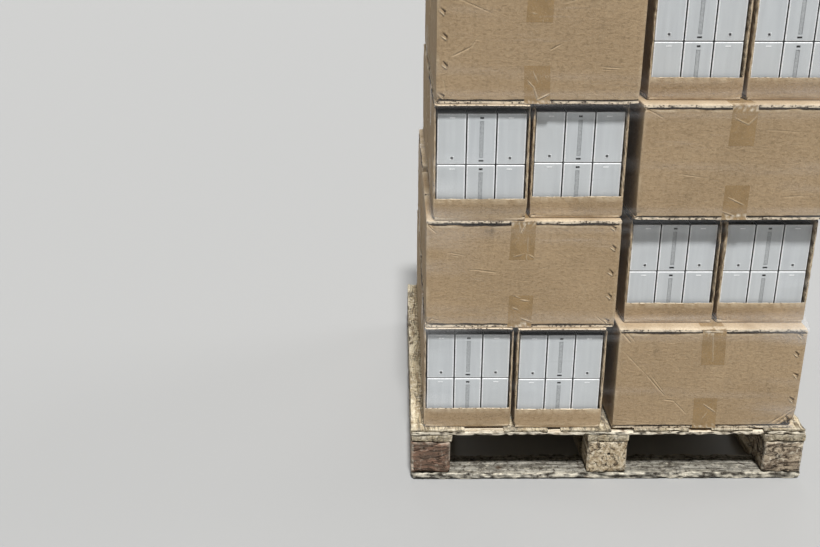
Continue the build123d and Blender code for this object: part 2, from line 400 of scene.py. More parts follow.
# %% Brown packing tape
def tape_material():
    material, tree, shader = new_material("brown tape", 0.3, 0.35)
    place = use_group(tree, own_place, {})
    where = place["Vector"]
    patch = patches(tree, where, 34.0, 0.42, 0.60)
    colour = mixed(tree, patch, (0.312, 0.206, 0.094, 1), (0.250, 0.164, 0.072, 1))
    colour = mixed(tree, mathed(tree, "MULTIPLY", place["Tint"], 0.4), colour, (0.30, 0.192, 0.088, 1))
    bubbles = patches(tree, where, 150.0, 0.60, 0.66)
    colour = mixed(tree, mathed(tree, "MULTIPLY", bubbles, 0.35), colour, (0.42, 0.32, 0.19, 1))
    # The pale colour also lays painted highlights along the creases and over the folds, and the dark one
    # painted shade.
    colour = with_wear_dirt_and_light(tree, where, colour, (0.80, 0.72, 0.58, 1), (0.10, 0.065, 0.035, 1))
    tree.links.new(colour, shader.inputs["Base Color"])
    tree.links.new(ranged(tree, patch, 0.0, 1.0, 0.24, 0.40), shader.inputs["Roughness"])
    bumped(tree, shader, mathed(tree, "ADD", patch, bubbles), 0.40, 0.0009)
    return material


tape_brown = tape_material()


# %% White pack board
def pack_material():
    material, tree, shader = new_material("white pack board", 0.42, 0.25)
    place = use_group(tree, own_place, {})
    where = place["Vector"]
    streak = noisy(tree, stretched(tree, where, (70.0, 70.0, 5.0)), 1.0, 3.0)
    streaked = ranged(tree, streak, 0.35, 0.65)
    colour = mixed(tree, streaked, (0.555, 0.580, 0.592, 1), (0.505, 0.528, 0.542, 1))
    colour = mixed(tree, mathed(tree, "MULTIPLY", place["Tint"], 0.3), colour, (0.545, 0.560, 0.552, 1))
    # The pale colour is a painted highlight on rounded and raised edges, and the dark one painted shade in
    # joints and slots.
    colour = with_wear_dirt_and_light(tree, where, colour, (0.90, 0.91, 0.91, 1), (0.03, 0.03, 0.03, 1))
    tree.links.new(colour, shader.inputs["Base Color"])
    tree.links.new(ranged(tree, streak, 0.3, 0.7, 0.36, 0.5), shader.inputs["Roughness"])
    bumped(tree, shader, streak, 0.08, 0.0005)
    return material


pack_white = pack_material()


# %% Clear stretch film
CLEAR = 0.012


def film_material():
    material, tree, shader = new_material("clear stretch film", 0.16, 0.5)
    where = add_node(tree, "ShaderNodeTexCoord").outputs["Object"]
    slanted = {0: where, 2: (0.12, 0.18, 0.0), 3: (5.0, 5.0, 95.0)}
    drawn = add_node(tree, "ShaderNodeMapping", slanted).outputs[0]
    streak = ranged(tree, noisy(tree, drawn, 1.0, 5.0, 0.55), 0.62, 0.80)
    worn = use_group(tree, wear_dirt_and_light, {"Vector": where})["Worn and lit"]
    # The film's painted streaks, partly cloudy film and partly painted glints, raise the alpha.
    milky_and_glint = mathed(tree, "ADD", mathed(tree, "MULTIPLY", streak, 0.06), mathed(tree, "MULTIPLY", worn, 0.55))
    tree.links.new(mathed(tree, "ADD", CLEAR, milky_and_glint, True), shader.inputs["Alpha"])
    shader.inputs["Base Color"].default_value = (0.93, 0.94, 0.95, 1)
    bumped(tree, shader, streak, 0.5, 0.002)
    return material


film_clear = film_material()

# %% [markdown]
# ## Timber
# Pallet wood is rough sawn softwood. Long noise stretched along a board gives its grain, small cells give
# knots, and a coarse noise gives the grey dirt that gathers on it. The same group serves boards that run
# along X and along Y, because the direction comes in as a vector that scales the pattern.

# %% Sawn wood grain
sawn, given, result = new_group("sawn wood", {"Vector": None, "Along": (3.0, 42.0, 42.0), "Wander": 0.035},
                                ["Grain", "Fine", "Knots", "Dirt", "Chips", "Cracks"])
wander = noise_node(sawn, given["Vector"], 6.0, 2.0).outputs[1]
bent = add_node(sawn, "ShaderNodeVectorMath", {0: wander, 1: given["Wander"], 2: given["Vector"]},
                operation="MULTIPLY_ADD").outputs[0]
pulled = stretched(sawn, bent, given["Along"])
cells = add_node(sawn, "ShaderNodeTexVoronoi", {"Vector": bent, "Scale": 7.0}).outputs["Distance"]
split = noisy(sawn, pulled, 0.9, 3.0, distortion=0.4)
off_line = mathed(sawn, "ABSOLUTE", mathed(sawn, "SUBTRACT", split, 0.5))
sawn.links.new(noisy(sawn, pulled, 1.6, 5.0, 0.65), result["Grain"])
sawn.links.new(noisy(sawn, pulled, 9.0, 4.0), result["Fine"])
sawn.links.new(ranged(sawn, cells, 0.10, 0.03), result["Knots"])
sawn.links.new(noisy(sawn, given["Vector"], 15.0, 7.0, 0.7), result["Dirt"])
sawn.links.new(noisy(sawn, bent, 85.0, 5.0, 0.65), result["Chips"])
sawn.links.new(ranged(sawn, off_line, 0.026, 0.008), result["Cracks"])


# %% Timber colours
def timber_material(name, along, pale, dark, chipped=0.56, dirty=0.52, cracks=0.6, scraped=0.7, wander=0.035):
    """Chipped and dirty say how high the noise must be before a chip is dark or the wood is dirty."""
    material, tree, shader = new_material(name, 0.85)
    place = use_group(tree, own_place, {})
    where = place["Vector"]
    wood = use_group(tree, sawn, {"Vector": where, "Along": along, "Wander": wander})
    colour = mixed(tree, ranged(tree, wood["Grain"], 0.42, 0.58), pale, dark)
    colour = mixed(tree, ranged(tree, wood["Fine"], 0.50, 0.64, 0.0, 0.65), colour, dark)
    colour = mixed(tree, mathed(tree, "MULTIPLY", place["Tint"], 0.3), colour, (0.27, 0.22, 0.15, 1))
    colour = mixed(tree, wood["Knots"], colour, (0.11, 0.06, 0.032, 1))
    for pattern, low, high, strength, tone in (
            ("Dirt", dirty, dirty + 0.10, 0.75, (0.075, 0.062, 0.05, 1)),
            ("Chips", 0.45, 0.37, scraped, (0.84, 0.76, 0.60, 1)),
            ("Chips", chipped, chipped + 0.05, 0.85, (0.050, 0.036, 0.025, 1))):
        colour = mixed(tree, ranged(tree, wood[pattern], low, high, 0.0, strength), colour, tone)
    colour = mixed(tree, mathed(tree, "MULTIPLY", wood["Cracks"], cracks), colour, (0.035, 0.025, 0.018, 1))
    colour = with_wear_dirt_and_light(tree, where, colour, (0.86, 0.79, 0.64, 1), (0.045, 0.038, 0.030, 1))
    tree.links.new(colour, shader.inputs["Base Color"])
    height = mathed(tree, "ADD", wood["Fine"], mathed(tree, "MULTIPLY", wood["Grain"], 1.4))
    height = mathed(tree, "SUBTRACT", height, mathed(tree, "ADD", wood["Chips"], wood["Cracks"]))
    bumped(tree, shader, height, 0.85, 0.0022)
    tree.links.new(ranged(tree, wood["Fine"], 0.3, 0.7, 0.78, 0.93), shader.inputs["Roughness"])
    return material


ALONG_X = (2.6, 60.0, 60.0)
ALONG_Y = (60.0, 2.6, 60.0)
wood_x = timber_material("board along x", ALONG_X, (0.86, 0.79, 0.64, 1), (0.60, 0.50, 0.36, 1), 0.61, 0.60)
wood_y = timber_material("board along y", ALONG_Y, (0.66, 0.57, 0.39, 1), (0.36, 0.28, 0.175, 1), 0.57, 0.56)
wood_base = timber_material("base board", ALONG_X, (0.50, 0.48, 0.42, 1), (0.21, 0.20, 0.165, 1), 0.55, 0.52,
                            scraped=0.5)
block_red = timber_material("red block", (9.0, 20.0, 75.0), (0.290, 0.160, 0.110, 1),
                            (0.085, 0.055, 0.043, 1), 0.60, 0.62, 0.8, 0.20, 0.11)
block_end = timber_material("end grain block", (46.0, 9.0, 46.0), (0.82, 0.70, 0.50, 1),
                            (0.42, 0.31, 0.185, 1), 0.555, 0.60, 0.7, 0.75)
block_grey = timber_material("grey block", (13.0, 26.0, 42.0), (0.48, 0.39, 0.28, 1), (0.16, 0.12, 0.085, 1),
                             0.56, 0.56, 0.95, 0.5, 0.08)
print("materials", len(bpy.data.materials))

# %% [markdown]
# ## How board gives
# A carton is never flat. Its walls bow a little, its corners are knocked in, and a knock leaves a crease: a
# valley with a raised rim, which is painted pale, as rubbed board and a painted highlight, or painted with
# shade.
# One function moves a point of a carton by all of these, and the tape uses the same function, so that it
# stays on the board.

# %% A carton's marks
NICK_HEIGHTS = (0.022, 0.092, 0.160, 0.228, 0.281)
NICK_FROM_MIDDLE = 0.238


def on_face(face, u, z, du=0.0, dz=0.0):
    """A point on one of the four walls: u is from -1 to 1 along it, du and dz are metres further on."""
    side = (-1, 1)[face % 2]
    if face < 2:
        return Vector((u * LONG / 2 + du, side * WIDE / 2, z + dz))
    return Vector((side * LONG / 2, u * WIDE / 2 + du, z + dz))


def crease(a, b, depth, width, tone):
    """A crease from a to b. A tone above 0 paints it pale, as rubbed board and a painted highlight, and one
    below 0 paints shade in it.
    """
    return {"a": a, "b": b, "depth": depth, "width": width, "tone": tone}


def nicks(end, side, rng):
    """The nicks of the tear line, one above another near one end of a long wall: a slit and a torn flap."""
    found = []
    for height in NICK_HEIGHTS:
        x = end * (NICK_FROM_MIDDLE - rng.uniform(0.0, 0.008))
        at = Vector((x, side * WIDE / 2, height + rng.uniform(-0.006, 0.006)))
        lean = rng.uniform(-0.003, 0.003)
        # The slit and the short crease are painted with shade, and the torn flap is painted pale.
        for a, b, depth, width, tone in (
                ((-0.004, 0, 0.007 + lean), (0.005, 0, -0.001), 0.0032, 0.0020, -0.8),
                ((-0.008, 0, 0.001), (0.004, 0, -0.009 + lean), -0.0016, 0.0015, 1.1),
                ((0.005, 0, 0.004), (0.004, 0, -0.012), 0.0015, 0.0013, -0.5)):
            found.append(crease(at + Vector(a), at + Vector(b), depth, width, tone))
    return found


def random_marks(seed):
    """Creases, nicks and knocked corners for one carton, the same on every run."""
    rng = random.Random(seed)
    creases = []
    for face in range(4):
        for _ in range(rng.choice((1, 2, 3))):
            u, z = rng.uniform(-0.85, 0.85), rng.uniform(0.03, TALL - 0.03)
            run = rng.uniform(0.02, 0.08)
            turn = rng.uniform(-0.5, 0.5)
            end_at = on_face(face, u, z, run * math.cos(turn), run * math.sin(turn))
            depth = rng.uniform(0.0004, 0.0011)
            creases.append(crease(on_face(face, u, z), end_at, depth, 0.0016, rng.uniform(0.0, 0.35)))
    corners = []
    for x, y, z in ((x, y, z) for x in (-1, 1) for y in (-1, 1) for z in (0, 1)):
        at = Vector((x * LONG / 2, y * WIDE / 2, z * TALL))
        corners.append((at, rng.uniform(0.018, 0.032), rng.uniform(0.0, 0.005)))
    end = rng.choice((-1, 1))
    creases += nicks(end, -1, rng) + nicks(end, 1, rng)
    return {"seed": seed * 0.73, "creases": creases, "corners": corners, "spots": [], "tape_creases": []}


print("marks", {k: len(v) for k, v in random_marks(1).items() if k != "seed"})

# %% Move a point of a carton by its marks
BOW = 0.0013


def gap_to(point, a, b):
    """How far a point is from the line a to b, and how far along the line it lies."""
    line = b - a
    t = in_range((point - a).dot(line) / line.length_squared)
    return (point - a - line * t).length, t


def bell(away, width):
    """1 in the middle, and close to nothing two widths away."""
    return math.exp(-(away / width) ** 2)


def give(point, normal, marks):
    """Returns the moved point, how pale it is painted, as rubbed board and painted highlight, and how dark,
    as dirt and painted shade.
    """
    seed = marks["seed"]
    warp = noise.noise(Vector((point.x * 5 + seed, point.y * 5, point.z * 6)))
    push = -BOW * (0.6 + warp)
    wear_and_highlight = 0.0
    grime_and_shade = 0.0
    for line in marks["creases"]:
        away, t = gap_to(point, line["a"], line["b"])
        width = line["width"]
        if away < 5 * width:
            fade = max(0.0, math.sin(math.pi * (0.04 + 0.92 * t))) ** 0.4
            valley = bell(away, width)
            rim = bell(away - 2.0 * width, width)
            push += line["depth"] * fade * (0.45 * rim - valley)
            # The valley is painted pale, as rubbed board and a painted highlight, or painted with shade, by
            # the sign of the tone.
            if line["tone"] > 0:
                wear_and_highlight += line["tone"] * fade * valley
            else:
                grime_and_shade -= line["tone"] * fade * valley
    for corner, radius, depth in marks["corners"]:
        away = (point - corner).length
        if away < 3 * radius:
            crumple = 1 + 1.1 * noise.noise(point * 120 + Vector((seed, 0, 0)))
            push -= depth * bell(away, radius) * crumple
            wear_and_highlight += 30 * depth * bell(away, 0.6 * radius) * max(0.0, crumple - 1.1)
            grime_and_shade += 22 * depth * bell(away, 0.6 * radius) * max(0.0, 0.8 - crumple)
    for spot, radius, amount in marks["spots"]:
        away = (point - spot).length
        if away < 2 * radius:
            scuffed = max(0.0, 0.5 + noise.noise(point * 90))
            grime_and_shade += amount * bell(away, radius) * scuffed
    return point + normal * push, min(1.0, wear_and_highlight), in_range(grime_and_shade)


def sag(point, marks):
    """How far the folds of a long wall draw back from the outer flaps, in waves, so that a dark gap opens."""
    seed = marks["seed"]
    if abs(point.y) / (WIDE / 2) < 0.75:
        return 0.0
    on_top = point.z > TALL / 2
    wave = 0.55 + 1.1 * noise.noise(Vector((point.x * 13 + seed * 3, seed, 0.3 if on_top else 7.7)))
    wave += 0.35 * noise.noise(Vector((point.x * 55 + seed * 3, seed, 1.3)))
    ends = min(1.0, (LONG / 2 - abs(point.x)) / 0.02)
    near = max(0.0, 1 - min(point.z - BOARD, TALL - BOARD - point.z) / 0.016)
    size = 0.0036 if on_top else 0.0014
    return (0.0006 + size * max(0.0, wave)) * near * ends * (-1 if on_top else 1)


# %% Cut the board along a crease
COARSE_CUTS = (-1.3, 0.0, 1.3)
FINE_CUTS = (-2.2, -1.1, 0.0, 1.1, 2.2)


def score(bm, line, facing, offsets=COARSE_CUTS):
    """Gives a crease vertices of its own. The offsets from its line are counted in its widths."""
    along = (line["b"] - line["a"]).normalized()
    side = along.cross(facing)
    near = [f for f in bm.faces if f.normal.dot(facing) > 0.9
            and gap_to(f.calc_center_median(), line["a"], line["b"])[0] < 0.013]
    geom = list({g for f in near for g in [f, *f.edges, *f.verts]})
    for offset in offsets:
        if geom:
            place = line["a"] + side * offset * line["width"]
            cut = bmesh.ops.bisect_plane(bm, geom=geom, dist=1e-6, plane_no=side, plane_co=place)
            geom = cut["geom"]


def facing_of(line):
    """Which way the wall under a crease faces."""
    middle = (line["a"] + line["b"]) / 2
    if abs(middle.x) > LONG / 2 - 0.001:
        return Vector((math.copysign(1, middle.x), 0, 0))
    return Vector((0, math.copysign(1, middle.y), 0))


# %% [markdown]
# ## A closed carton
# A carton is one folded blank. Its walls and its inner flaps are made as one cube with rounded folds that
# is sliced into a grid. The outer flaps fold over from the short ends and meet in the middle: each is a
# plate 6 mm thick, and its long cut edges show at the top and bottom of the long walls.


# %% Walls of a carton
def folded_box():
    bm = block_of((-LONG / 2, -WIDE / 2, BOARD), (LONG / 2, WIDE / 2, TALL - BOARD))
    folds = [e for e in bm.edges if runs_along(e, 2) or runs_along(e, 0)]
    round_edges(bm, folds, FOLD_RADIUS, 2)
    return bm


def merge_covers(bm):
    """Makes one face of each cover, because the outer flaps hide it."""
    for way in (-1, 1):
        cover = [f for f in bm.faces if f.normal.z * way > 0.99]
        bmesh.ops.dissolve_faces(bm, faces=cover, use_verts=False)


def carton_walls(front_step=None):
    """With a front step the front wall is sliced again, at that distance."""
    def on_front_wall(f):
        return f.normal.y < -0.9

    bm = folded_box()
    cut_grid(bm, 0, stations(-LONG / 2, LONG / 2, 0.0155))
    cut_grid(bm, 1, stations(-WIDE / 2, WIDE / 2, 0.0165))
    cut_grid(bm, 2, [0.0125, 0.022] + stations(0.03, TALL - 0.03, 0.0165) + [TALL - 0.022, TALL - 0.0125])
    bm.normal_update()
    if front_step:
        cut_grid(bm, 0, stations(-LONG / 2 + 0.004, LONG / 2 - 0.004, front_step), on_front_wall)
        cut_grid(bm, 2, stations(0.012, TALL - 0.012, front_step), on_front_wall)
        bm.normal_update()
    merge_covers(bm)
    return bm


# %% An outer flap
def outer_flap():
    half = WIDE / 2 - FLAP_INSET
    bm = block_of((0.001, -half, TALL - BOARD), (LONG / 2, half, TALL))
    corner = [e for e in bm.edges if runs_along(e, 2) and e.verts[0].co.x > 0.1]
    round_edges(bm, corner, 0.007, 2)
    bm.normal_update()
    fold = [e for e in bm.edges if all(v.co.z > TALL - 1e-5 and v.co.x > LONG / 2 - 1e-5 for v in e.verts)]
    round_edges(bm, fold, 0.004, 2)
    cut_grid(bm, 0, stations(0.002, LONG / 2 - 0.008, 0.012))
    cut_grid(bm, 1, [-half + 0.004, -half + 0.016, -0.04, 0.04, half - 0.016, half - 0.004])
    bm.normal_update()
    for f in bm.faces:
        if abs(f.normal.y) > 0.9 or f.normal.x < -0.9:
            f.material_index = 1
    return bm


WALLS = carton_walls()
FINE_WALLS = carton_walls(0.0072)
FLAP = outer_flap()
print("faces: walls", len(WALLS.faces), "front walls", len(FINE_WALLS.faces), "flap", len(FLAP.faces))

# %% Dent a shape, and paint its wear, grime, painted highlights and painted shade
# Painted shade in the gap under the outer flaps, and the pale of the upright folds, as rubbed board and a
# painted highlight.
SEAM_SHADE = 2.4
FOLD_WEAR_AND_HIGHLIGHT = 0.3
FLAP_BEND = 0.03


def dent(bm, marks, number):
    """Moves every vertex of the walls by the carton's marks. Right under the outer flaps they are painted
    with shade, and a little lower with a painted highlight along the fold crest.
    """
    wear_and_highlight_layer, grime_and_shade_layer, piece_layer = paint_layers(bm)
    bm.normal_update()
    moves = []
    for v in bm.verts:
        normal = v.normal.copy()
        if abs(normal.z) > 0.9:
            normal = Vector((0, 0, 0))
        co, wear_and_highlight, grime_and_shade = give(v.co, normal, marks)
        co.z += sag(v.co, marks)
        # Upright folds are painted pale, as rubbed board and a painted highlight.
        if abs(v.co.x) > LONG / 2 - 0.0045 and abs(v.co.y) > WIDE / 2 - 0.0045:
            wear_and_highlight += FOLD_WEAR_AND_HIGHLIGHT * max(0.0, 0.35 + noise.noise(v.co * 45))
        from_cover = min(v.co.z - BOARD, TALL - BOARD - v.co.z)
        # Painted shade in the gap where the wall draws back from the outer flaps, wavy along the long walls.
        if from_cover < 0.0018 and abs(v.co.x) < LONG / 2 - 0.005:
            grime_and_shade = SEAM_SHADE
        elif from_cover < 0.0040 and abs(v.co.y) > WIDE / 2 - 0.001:
            wave = noise.noise(Vector((v.co.x * 30 + marks["seed"], marks["seed"], 0.5)))
            grime_and_shade = max(grime_and_shade, 1.6 * in_range(0.30 + 1.8 * wave))
        # A painted highlight along the fold crest below that gap, stronger at the top.
        elif from_cover < 0.0075:
            wear_and_highlight += (0.75 if v.co.z > TALL / 2 else 0.2) * max(0.0, 0.55 + noise.noise(v.co * 60))
        moves.append((v, co, wear_and_highlight, grime_and_shade))
    for v, co, wear_and_highlight, grime_and_shade in moves:
        v.co = co
        v[wear_and_highlight_layer] = min(1.0, wear_and_highlight)
        v[grime_and_shade_layer] = grime_and_shade
        v[piece_layer] = number


def shade(bm, chosen, grime_and_shade):
    """Paints shade on the vertices that are chosen by their place."""
    grime_and_shade_layer = bm.verts.layers.float["grime_and_shade"]
    for v in bm.verts:
        if chosen(v.co):
            v[grime_and_shade_layer] = grime_and_shade


def wave_flap(bm, marks, number, which):
    """Bends the long edges of one outer flap in shallow waves. The edges are painted pale, as rubbed board
    and a painted highlight, and their underside is painted with shade.
    """
    wear_and_highlight_layer, grime_and_shade_layer, piece_layer = paint_layers(bm)
    seed = marks["seed"] + 11 * which
    half = WIDE / 2 - FLAP_INSET
    for v in bm.verts:
        edge = max(0.0, (abs(v.co.y) - (half - FLAP_BEND)) / FLAP_BEND)
        side = 1 if v.co.y > 0 else 5
        wave = noise.noise(Vector((v.co.x * 26 + seed, side, 0.5)))
        draw = noise.noise(Vector((v.co.x * 34 + seed, side, 2.5)))
        v.co.z -= 0.0016 * edge * edge * max(0.0, 0.5 + wave)
        v.co.y -= 0.0014 * edge * (0.6 + draw) * (1 if v.co.y > 0 else -1)
        knock = max(0.0, (v.co.x - (LONG / 2 - 0.02)) / 0.02) * edge
        v.co.z -= 0.002 * knock * max(0.0, 0.5 + noise.noise(v.co * 60))
        # The flap's edges are painted pale, as rubbed board and a painted highlight.
        v[wear_and_highlight_layer] = min(1.0, 0.80 * edge * max(0.0, 0.85 + wave) + 0.5 * knock)
        v[piece_layer] = number
        # The underside of the flap's edge is painted with shade, over the gap to the wall.
        if edge > 0.9 and v.co.z < TALL - BOARD + 0.0012:
            v[grime_and_shade_layer] = 0.8 * in_range(0.4 + 1.6 * noise.noise(v.co * 55 + Vector((seed, 0, 0))))


# %% The four outer flaps of a carton
def add_flaps(whole, marks, number, windowed=False):
    """The flap over a window ends in a cut edge, which is painted with shade low down."""
    for which, turn in enumerate((Matrix.Identity(4), Matrix.Rotation(math.pi, 4, "Z"))):
        for under in (0, 1):
            plate = FLAP.copy()
            over_window = windowed and which == 1 and not under
            if over_window:
                plate.normal_update()
                for f in plate.faces:
                    if f.normal.x > 0.5:
                        f.material_index = 1
            wave_flap(plate, marks, number, 2 * which + under)
            if over_window:
                shade(plate, lambda co: co.x > LONG / 2 - 0.001 and co.z < TALL - 0.0035, SEAM_SHADE)
            flip = Matrix.Identity(4)
            if under:
                flip = Matrix.Translation((0, 0, TALL)) @ Matrix.Rotation(math.pi, 4, "X")
            join_into(whole, plate, flip @ turn)
            plate.free()


# %% A whole closed carton
def closed_carton(marks, number, fine):
    whole = (FINE_WALLS if fine else WALLS).copy()
    whole.normal_update()
    for line in marks["creases"]:
        score(whole, line, facing_of(line), FINE_CUTS if fine and line["a"].y < 0 else COARSE_CUTS)
    dent(whole, marks, number)
    add_flaps(whole, marks, number)
    return whole


# %% [markdown]
# ## Marks seen in the photo
# The four closed cartons at the front have marks of their own. Each crease is given in millimetres on the
# front wall, as two points and a depth: sideways from the middle, and up from the bottom of a wall 294 mm
# tall. A spot is a soft scuff, given as a point, a size in millimetres and how dark it is.

# %% Marks on the front walls
FRONT_CREASES = {
    "layer1": [
        ((-250, 290), (-221, 256), 3.0), ((-238, 292), (-212, 262), 2.2),
        ((-240, 233), (-168, 159), 1.3), ((-168, 159), (-117, 101), 2.4),
        ((-158, 160), (-120, 112), 1.6), ((-116, 88), (-90, 84), 2.6), ((-90, 84), (-48, 42), 1.8),
        ((-124, 257), (-102, 255), 1.2), ((-252, 26), (-60, 4), 1.0), ((186, 14), (250, 62), 3.5),
        ((196, 2), (236, 40), 3.0)],
    "layer2": [
        ((-196, 210), (-155, 202), 1.6), ((-190, 203), (-166, 200), 1.2),
        ((-142, 162), (-115, 162), 1.2), ((-118, 162), (-70, 155), 2.6),
        ((-131, 137), (-110, 134), 1.2), ((-251, 283), (-228, 263), 2.4),
        ((-244, 288), (-232, 270), 1.8), ((-239, 26), (-217, 19), 2.0), ((-251, 12), (-232, 30), 2.2),
        ((204, 30), (226, 12), 2.2), ((-20, 135), (40, 128), 0.7)],
    "layer3": [
        ((-250, 286), (-205, 262), 1.6), ((60, 232), (150, 226), 1.0), ((-150, 120), (-95, 112), 1.3),
        ((120, 60), (176, 64), 1.2)],
    "layer4": [
        ((-213, 115), (-168, 137), 2.4), ((-168, 137), (-154, 157), 1.5), ((24, 130), (52, 145), 2.2),
        ((156, 89), (201, 87), 1.6), ((150, 84), (190, 82), 1.0), ((-235, 60), (-228, 30), 1.6),
        ((-205, 250), (-120, 215), 1.4), ((60, 240), (130, 262), 1.6)],
}
TAPE_CREASES = {
    "layer1": [
        ((-3, 285), (6, 202), 1.6), ((-30, 290), (26, 286), 2.6), ((-7, 75), (29, 50), 2.4),
        ((-6, 29), (7, 50), 1.4)],
    "layer2": [
        ((-13, 286), (-8, 264), 2.6), ((-8, 264), (3, 286), 2.8), ((-26, 198), (2, 207), 1.6),
        ((13, 205), (32, 194), 1.8), ((10, 253), (11, 209), 1.2), ((8, 206), (10, 173), 1.6),
        ((-25, 95), (-4, 84), 1.8), ((-1, 79), (19, 76), 2.4), ((-23, 58), (-7, 51), 2.0),
        ((0, 28), (35, 15), 2.4)],
    "layer3": [
        ((-26, 262), (10, 246), 1.8), ((10, 246), (28, 266), 1.8), ((-20, 60), (24, 40), 1.8),
        ((-28, 22), (0, 12), 2.0)],
    "layer4": [
        ((-28, 57), (-12, 41), 2.2), ((-12, 41), (-1, 11), 2.4), ((-1, 11), (28, 26), 2.8),
        ((-16, 80), (-2, 52), 1.4), ((-24, 216), (-14, 214), 1.4), ((2, 200), (4, 178), 1.2)],
}
NICK_END = {"layer1": 1, "layer2": 1, "layer3": 1, "layer4": -1}
SPOTS = {
    "layer1": [((-150, 230), 12, 0.5), ((160, 112), 22, 0.3)],
    "layer2": [((-90, 268), 20, 0.6), ((58, 73), 4, 0.9)],
    "layer3": [((-120, 60), 14, 0.3)],
    "layer4": [((149, 151), 6, 0.6), ((150, 190), 14, 0.2)],
}
MARKED_TALL = 0.294
DEPTH_STEP = 0.00055


def on_front(mark):
    """A point of the front wall, from millimetres to metres."""
    return Vector((mark[0] / 1000, -WIDE / 2, mark[1] / 1000 * TALL / MARKED_TALL))


def front_marks(layer, seed):
    """The seen marks take the place of the random ones on the front wall."""
    marks = random_marks(seed)
    kept = [c for c in marks["creases"] if c["a"].y > -WIDE / 2 + 0.001]
    for a, b, depth in FRONT_CREASES[layer]:
        width = 0.0012 + depth * 0.00014
        kept.append(crease(on_front(a), on_front(b), depth * DEPTH_STEP, width, depth * 0.13))
    for a, b, depth in TAPE_CREASES[layer]:
        # Tape creases are painted pale, as cloudy tape and a painted highlight.
        line = crease(on_front(a), on_front(b), -depth * DEPTH_STEP, 0.0012, depth * 0.20)
        marks["tape_creases"].append(line)
    rng = random.Random(seed + 50)
    marks["creases"] = kept + nicks(NICK_END[layer], -1, rng) + nicks(NICK_END[layer], 1, rng)
    marks["spots"] = [(on_front(at), size / 1000, amount) for at, size, amount in SPOTS[layer]]
    if layer == "layer1":
        marks["corners"].append((Vector((LONG / 2, -WIDE / 2, 0.0)), 0.034, 0.012))
    return marks


print("marks in the photo", {k: len(FRONT_CREASES[k]) + len(TAPE_CREASES[k]) for k in FRONT_CREASES})

# %% [markdown]
# ## Tape
# Each carton has one band over the top and one under the bottom. A band is a flat grid that is laid round
# the carton: the length of the grid runs down the front wall, over the cover and down the back wall. Its
# ends are cut with teeth, and it follows the dents of the board under it.

# %% A flat grid laid round the carton
TAPE_THICK = 0.0002
TAPE_PROUD = 0.00009


def laid_band(over_top, fine, rng):
    """The lengths of the two ends, the slant and the place of a band differ a little each time."""
    tab = TAB_TOP if over_top else TAB_BOTTOM
    tab_front = tab + rng.uniform(-0.006, 0.0)
    tab_back = tab + rng.uniform(-0.012, 0.0)
    cover = WIDE - 0.0001
    back_fold = tab_front + cover
    total = back_fold + tab_back
    across = 16 if fine else 8
    bm = bmesh.new()
    bmesh.ops.create_grid(bm, x_segments=across, y_segments=1, size=0.5)
    bmesh.ops.scale(bm, vec=(TAPE_WIDE, total, 1), verts=bm.verts)
    bmesh.ops.translate(bm, vec=(0, total / 2, 0), verts=bm.verts)
    step = 0.006 if fine else 0.012
    cuts = [tab_front, back_fold] + stations(0, tab_front, step) + stations(back_fold, total, step)
    cut_grid(bm, 1, cuts + stations(tab_front, back_fold, 0.03))
    skew, shift = rng.uniform(-0.05, 0.05), rng.uniform(-0.004, 0.004)
    for v in bm.verts:
        s = v.co.y
        drop = max(0.0, tab_front - s, s - tab_front - cover)
        tooth = 0.0
        if s < 1e-6 or s > total - 1e-6:
            tooth = 0.0009 * (1 if round(v.co.x / TAPE_WIDE * across) % 2 else -1)
        y = in_range(s - tab_front - WIDE / 2, -WIDE / 2, WIDE / 2)
        z = TALL - drop - tooth if over_top else drop + tooth
        v.co = Vector((v.co.x + shift + skew * drop, y, z))
    bmesh.ops.recalc_face_normals(bm, faces=bm.faces)
    bm.normal_update()
    return bm


# %% One band of tape
def tape_band(marks, number, over_top, fine, rng):
    """Lays a band, creases it, and presses it on the dented board. Over a fold it is drawn in."""
    bm = laid_band(over_top, fine, rng)
    out = Vector((0, 0, 1 if over_top else -1))
    if sum(f.normal.dot(out) for f in bm.faces) < 0:
        bmesh.ops.reverse_faces(bm, faces=bm.faces)
        bm.normal_update()
    for line in marks["tape_creases"]:
        if (line["a"].z > TALL / 2) == over_top:
            score(bm, line, Vector((0, -1, 0)), FINE_CUTS)
    both = dict(marks, creases=marks["creases"] + marks["tape_creases"])
    wear_and_highlight_layer, grime_and_shade_layer, piece_layer = paint_layers(bm)
    for v in bm.verts:
        co = v.co.copy()
        drop = TALL - co.z if over_top else co.z
        wear_and_highlight, grime_and_shade = 0.0, 0.0
        if drop > 0.0004:
            normal = Vector((0, math.copysign(1, co.y), 0))
            co, wear_and_highlight, grime_and_shade = give(co, normal, both)
            co += normal * (0.0003 + 0.0004 * max(0.0, noise.noise(v.co * 70)))
            co -= normal * 0.0012 * max(0.0, 1 - drop / 0.010)
        else:
            near = WIDE / 2 - abs(co.y)
            co += out * (TAPE_PROUD - 0.0012 * max(0.0, 1 - near / 0.004))
        co.z = in_range(co.z, -TAPE_PROUD, TALL + TAPE_PROUD)
        # Where the tape bends over a fold it gets painted highlights.
        if WIDE / 2 - abs(v.co.y) < 0.004 and drop < 0.014:
            wear_and_highlight += max(0.0, 1.6 * noise.noise(v.co * 130 + Vector((marks["seed"], 0, 0))))
        v.co = co
        v[wear_and_highlight_layer] = min(1.0, wear_and_highlight)
        v[grime_and_shade_layer] = grime_and_shade * 0.5
        v[piece_layer] = number
    return bm


# %% [markdown]
# ## A display carton
# The display carton is the same blank with its end panel torn out down to a lip. An outer box and an inner
# box are made, a window is cut out of both, and the two rims are bridged. The rim is the cut edge of the
# board, so it gets the cut edge material and small nibs from the tear line. It is drawn with the window
# facing -X.


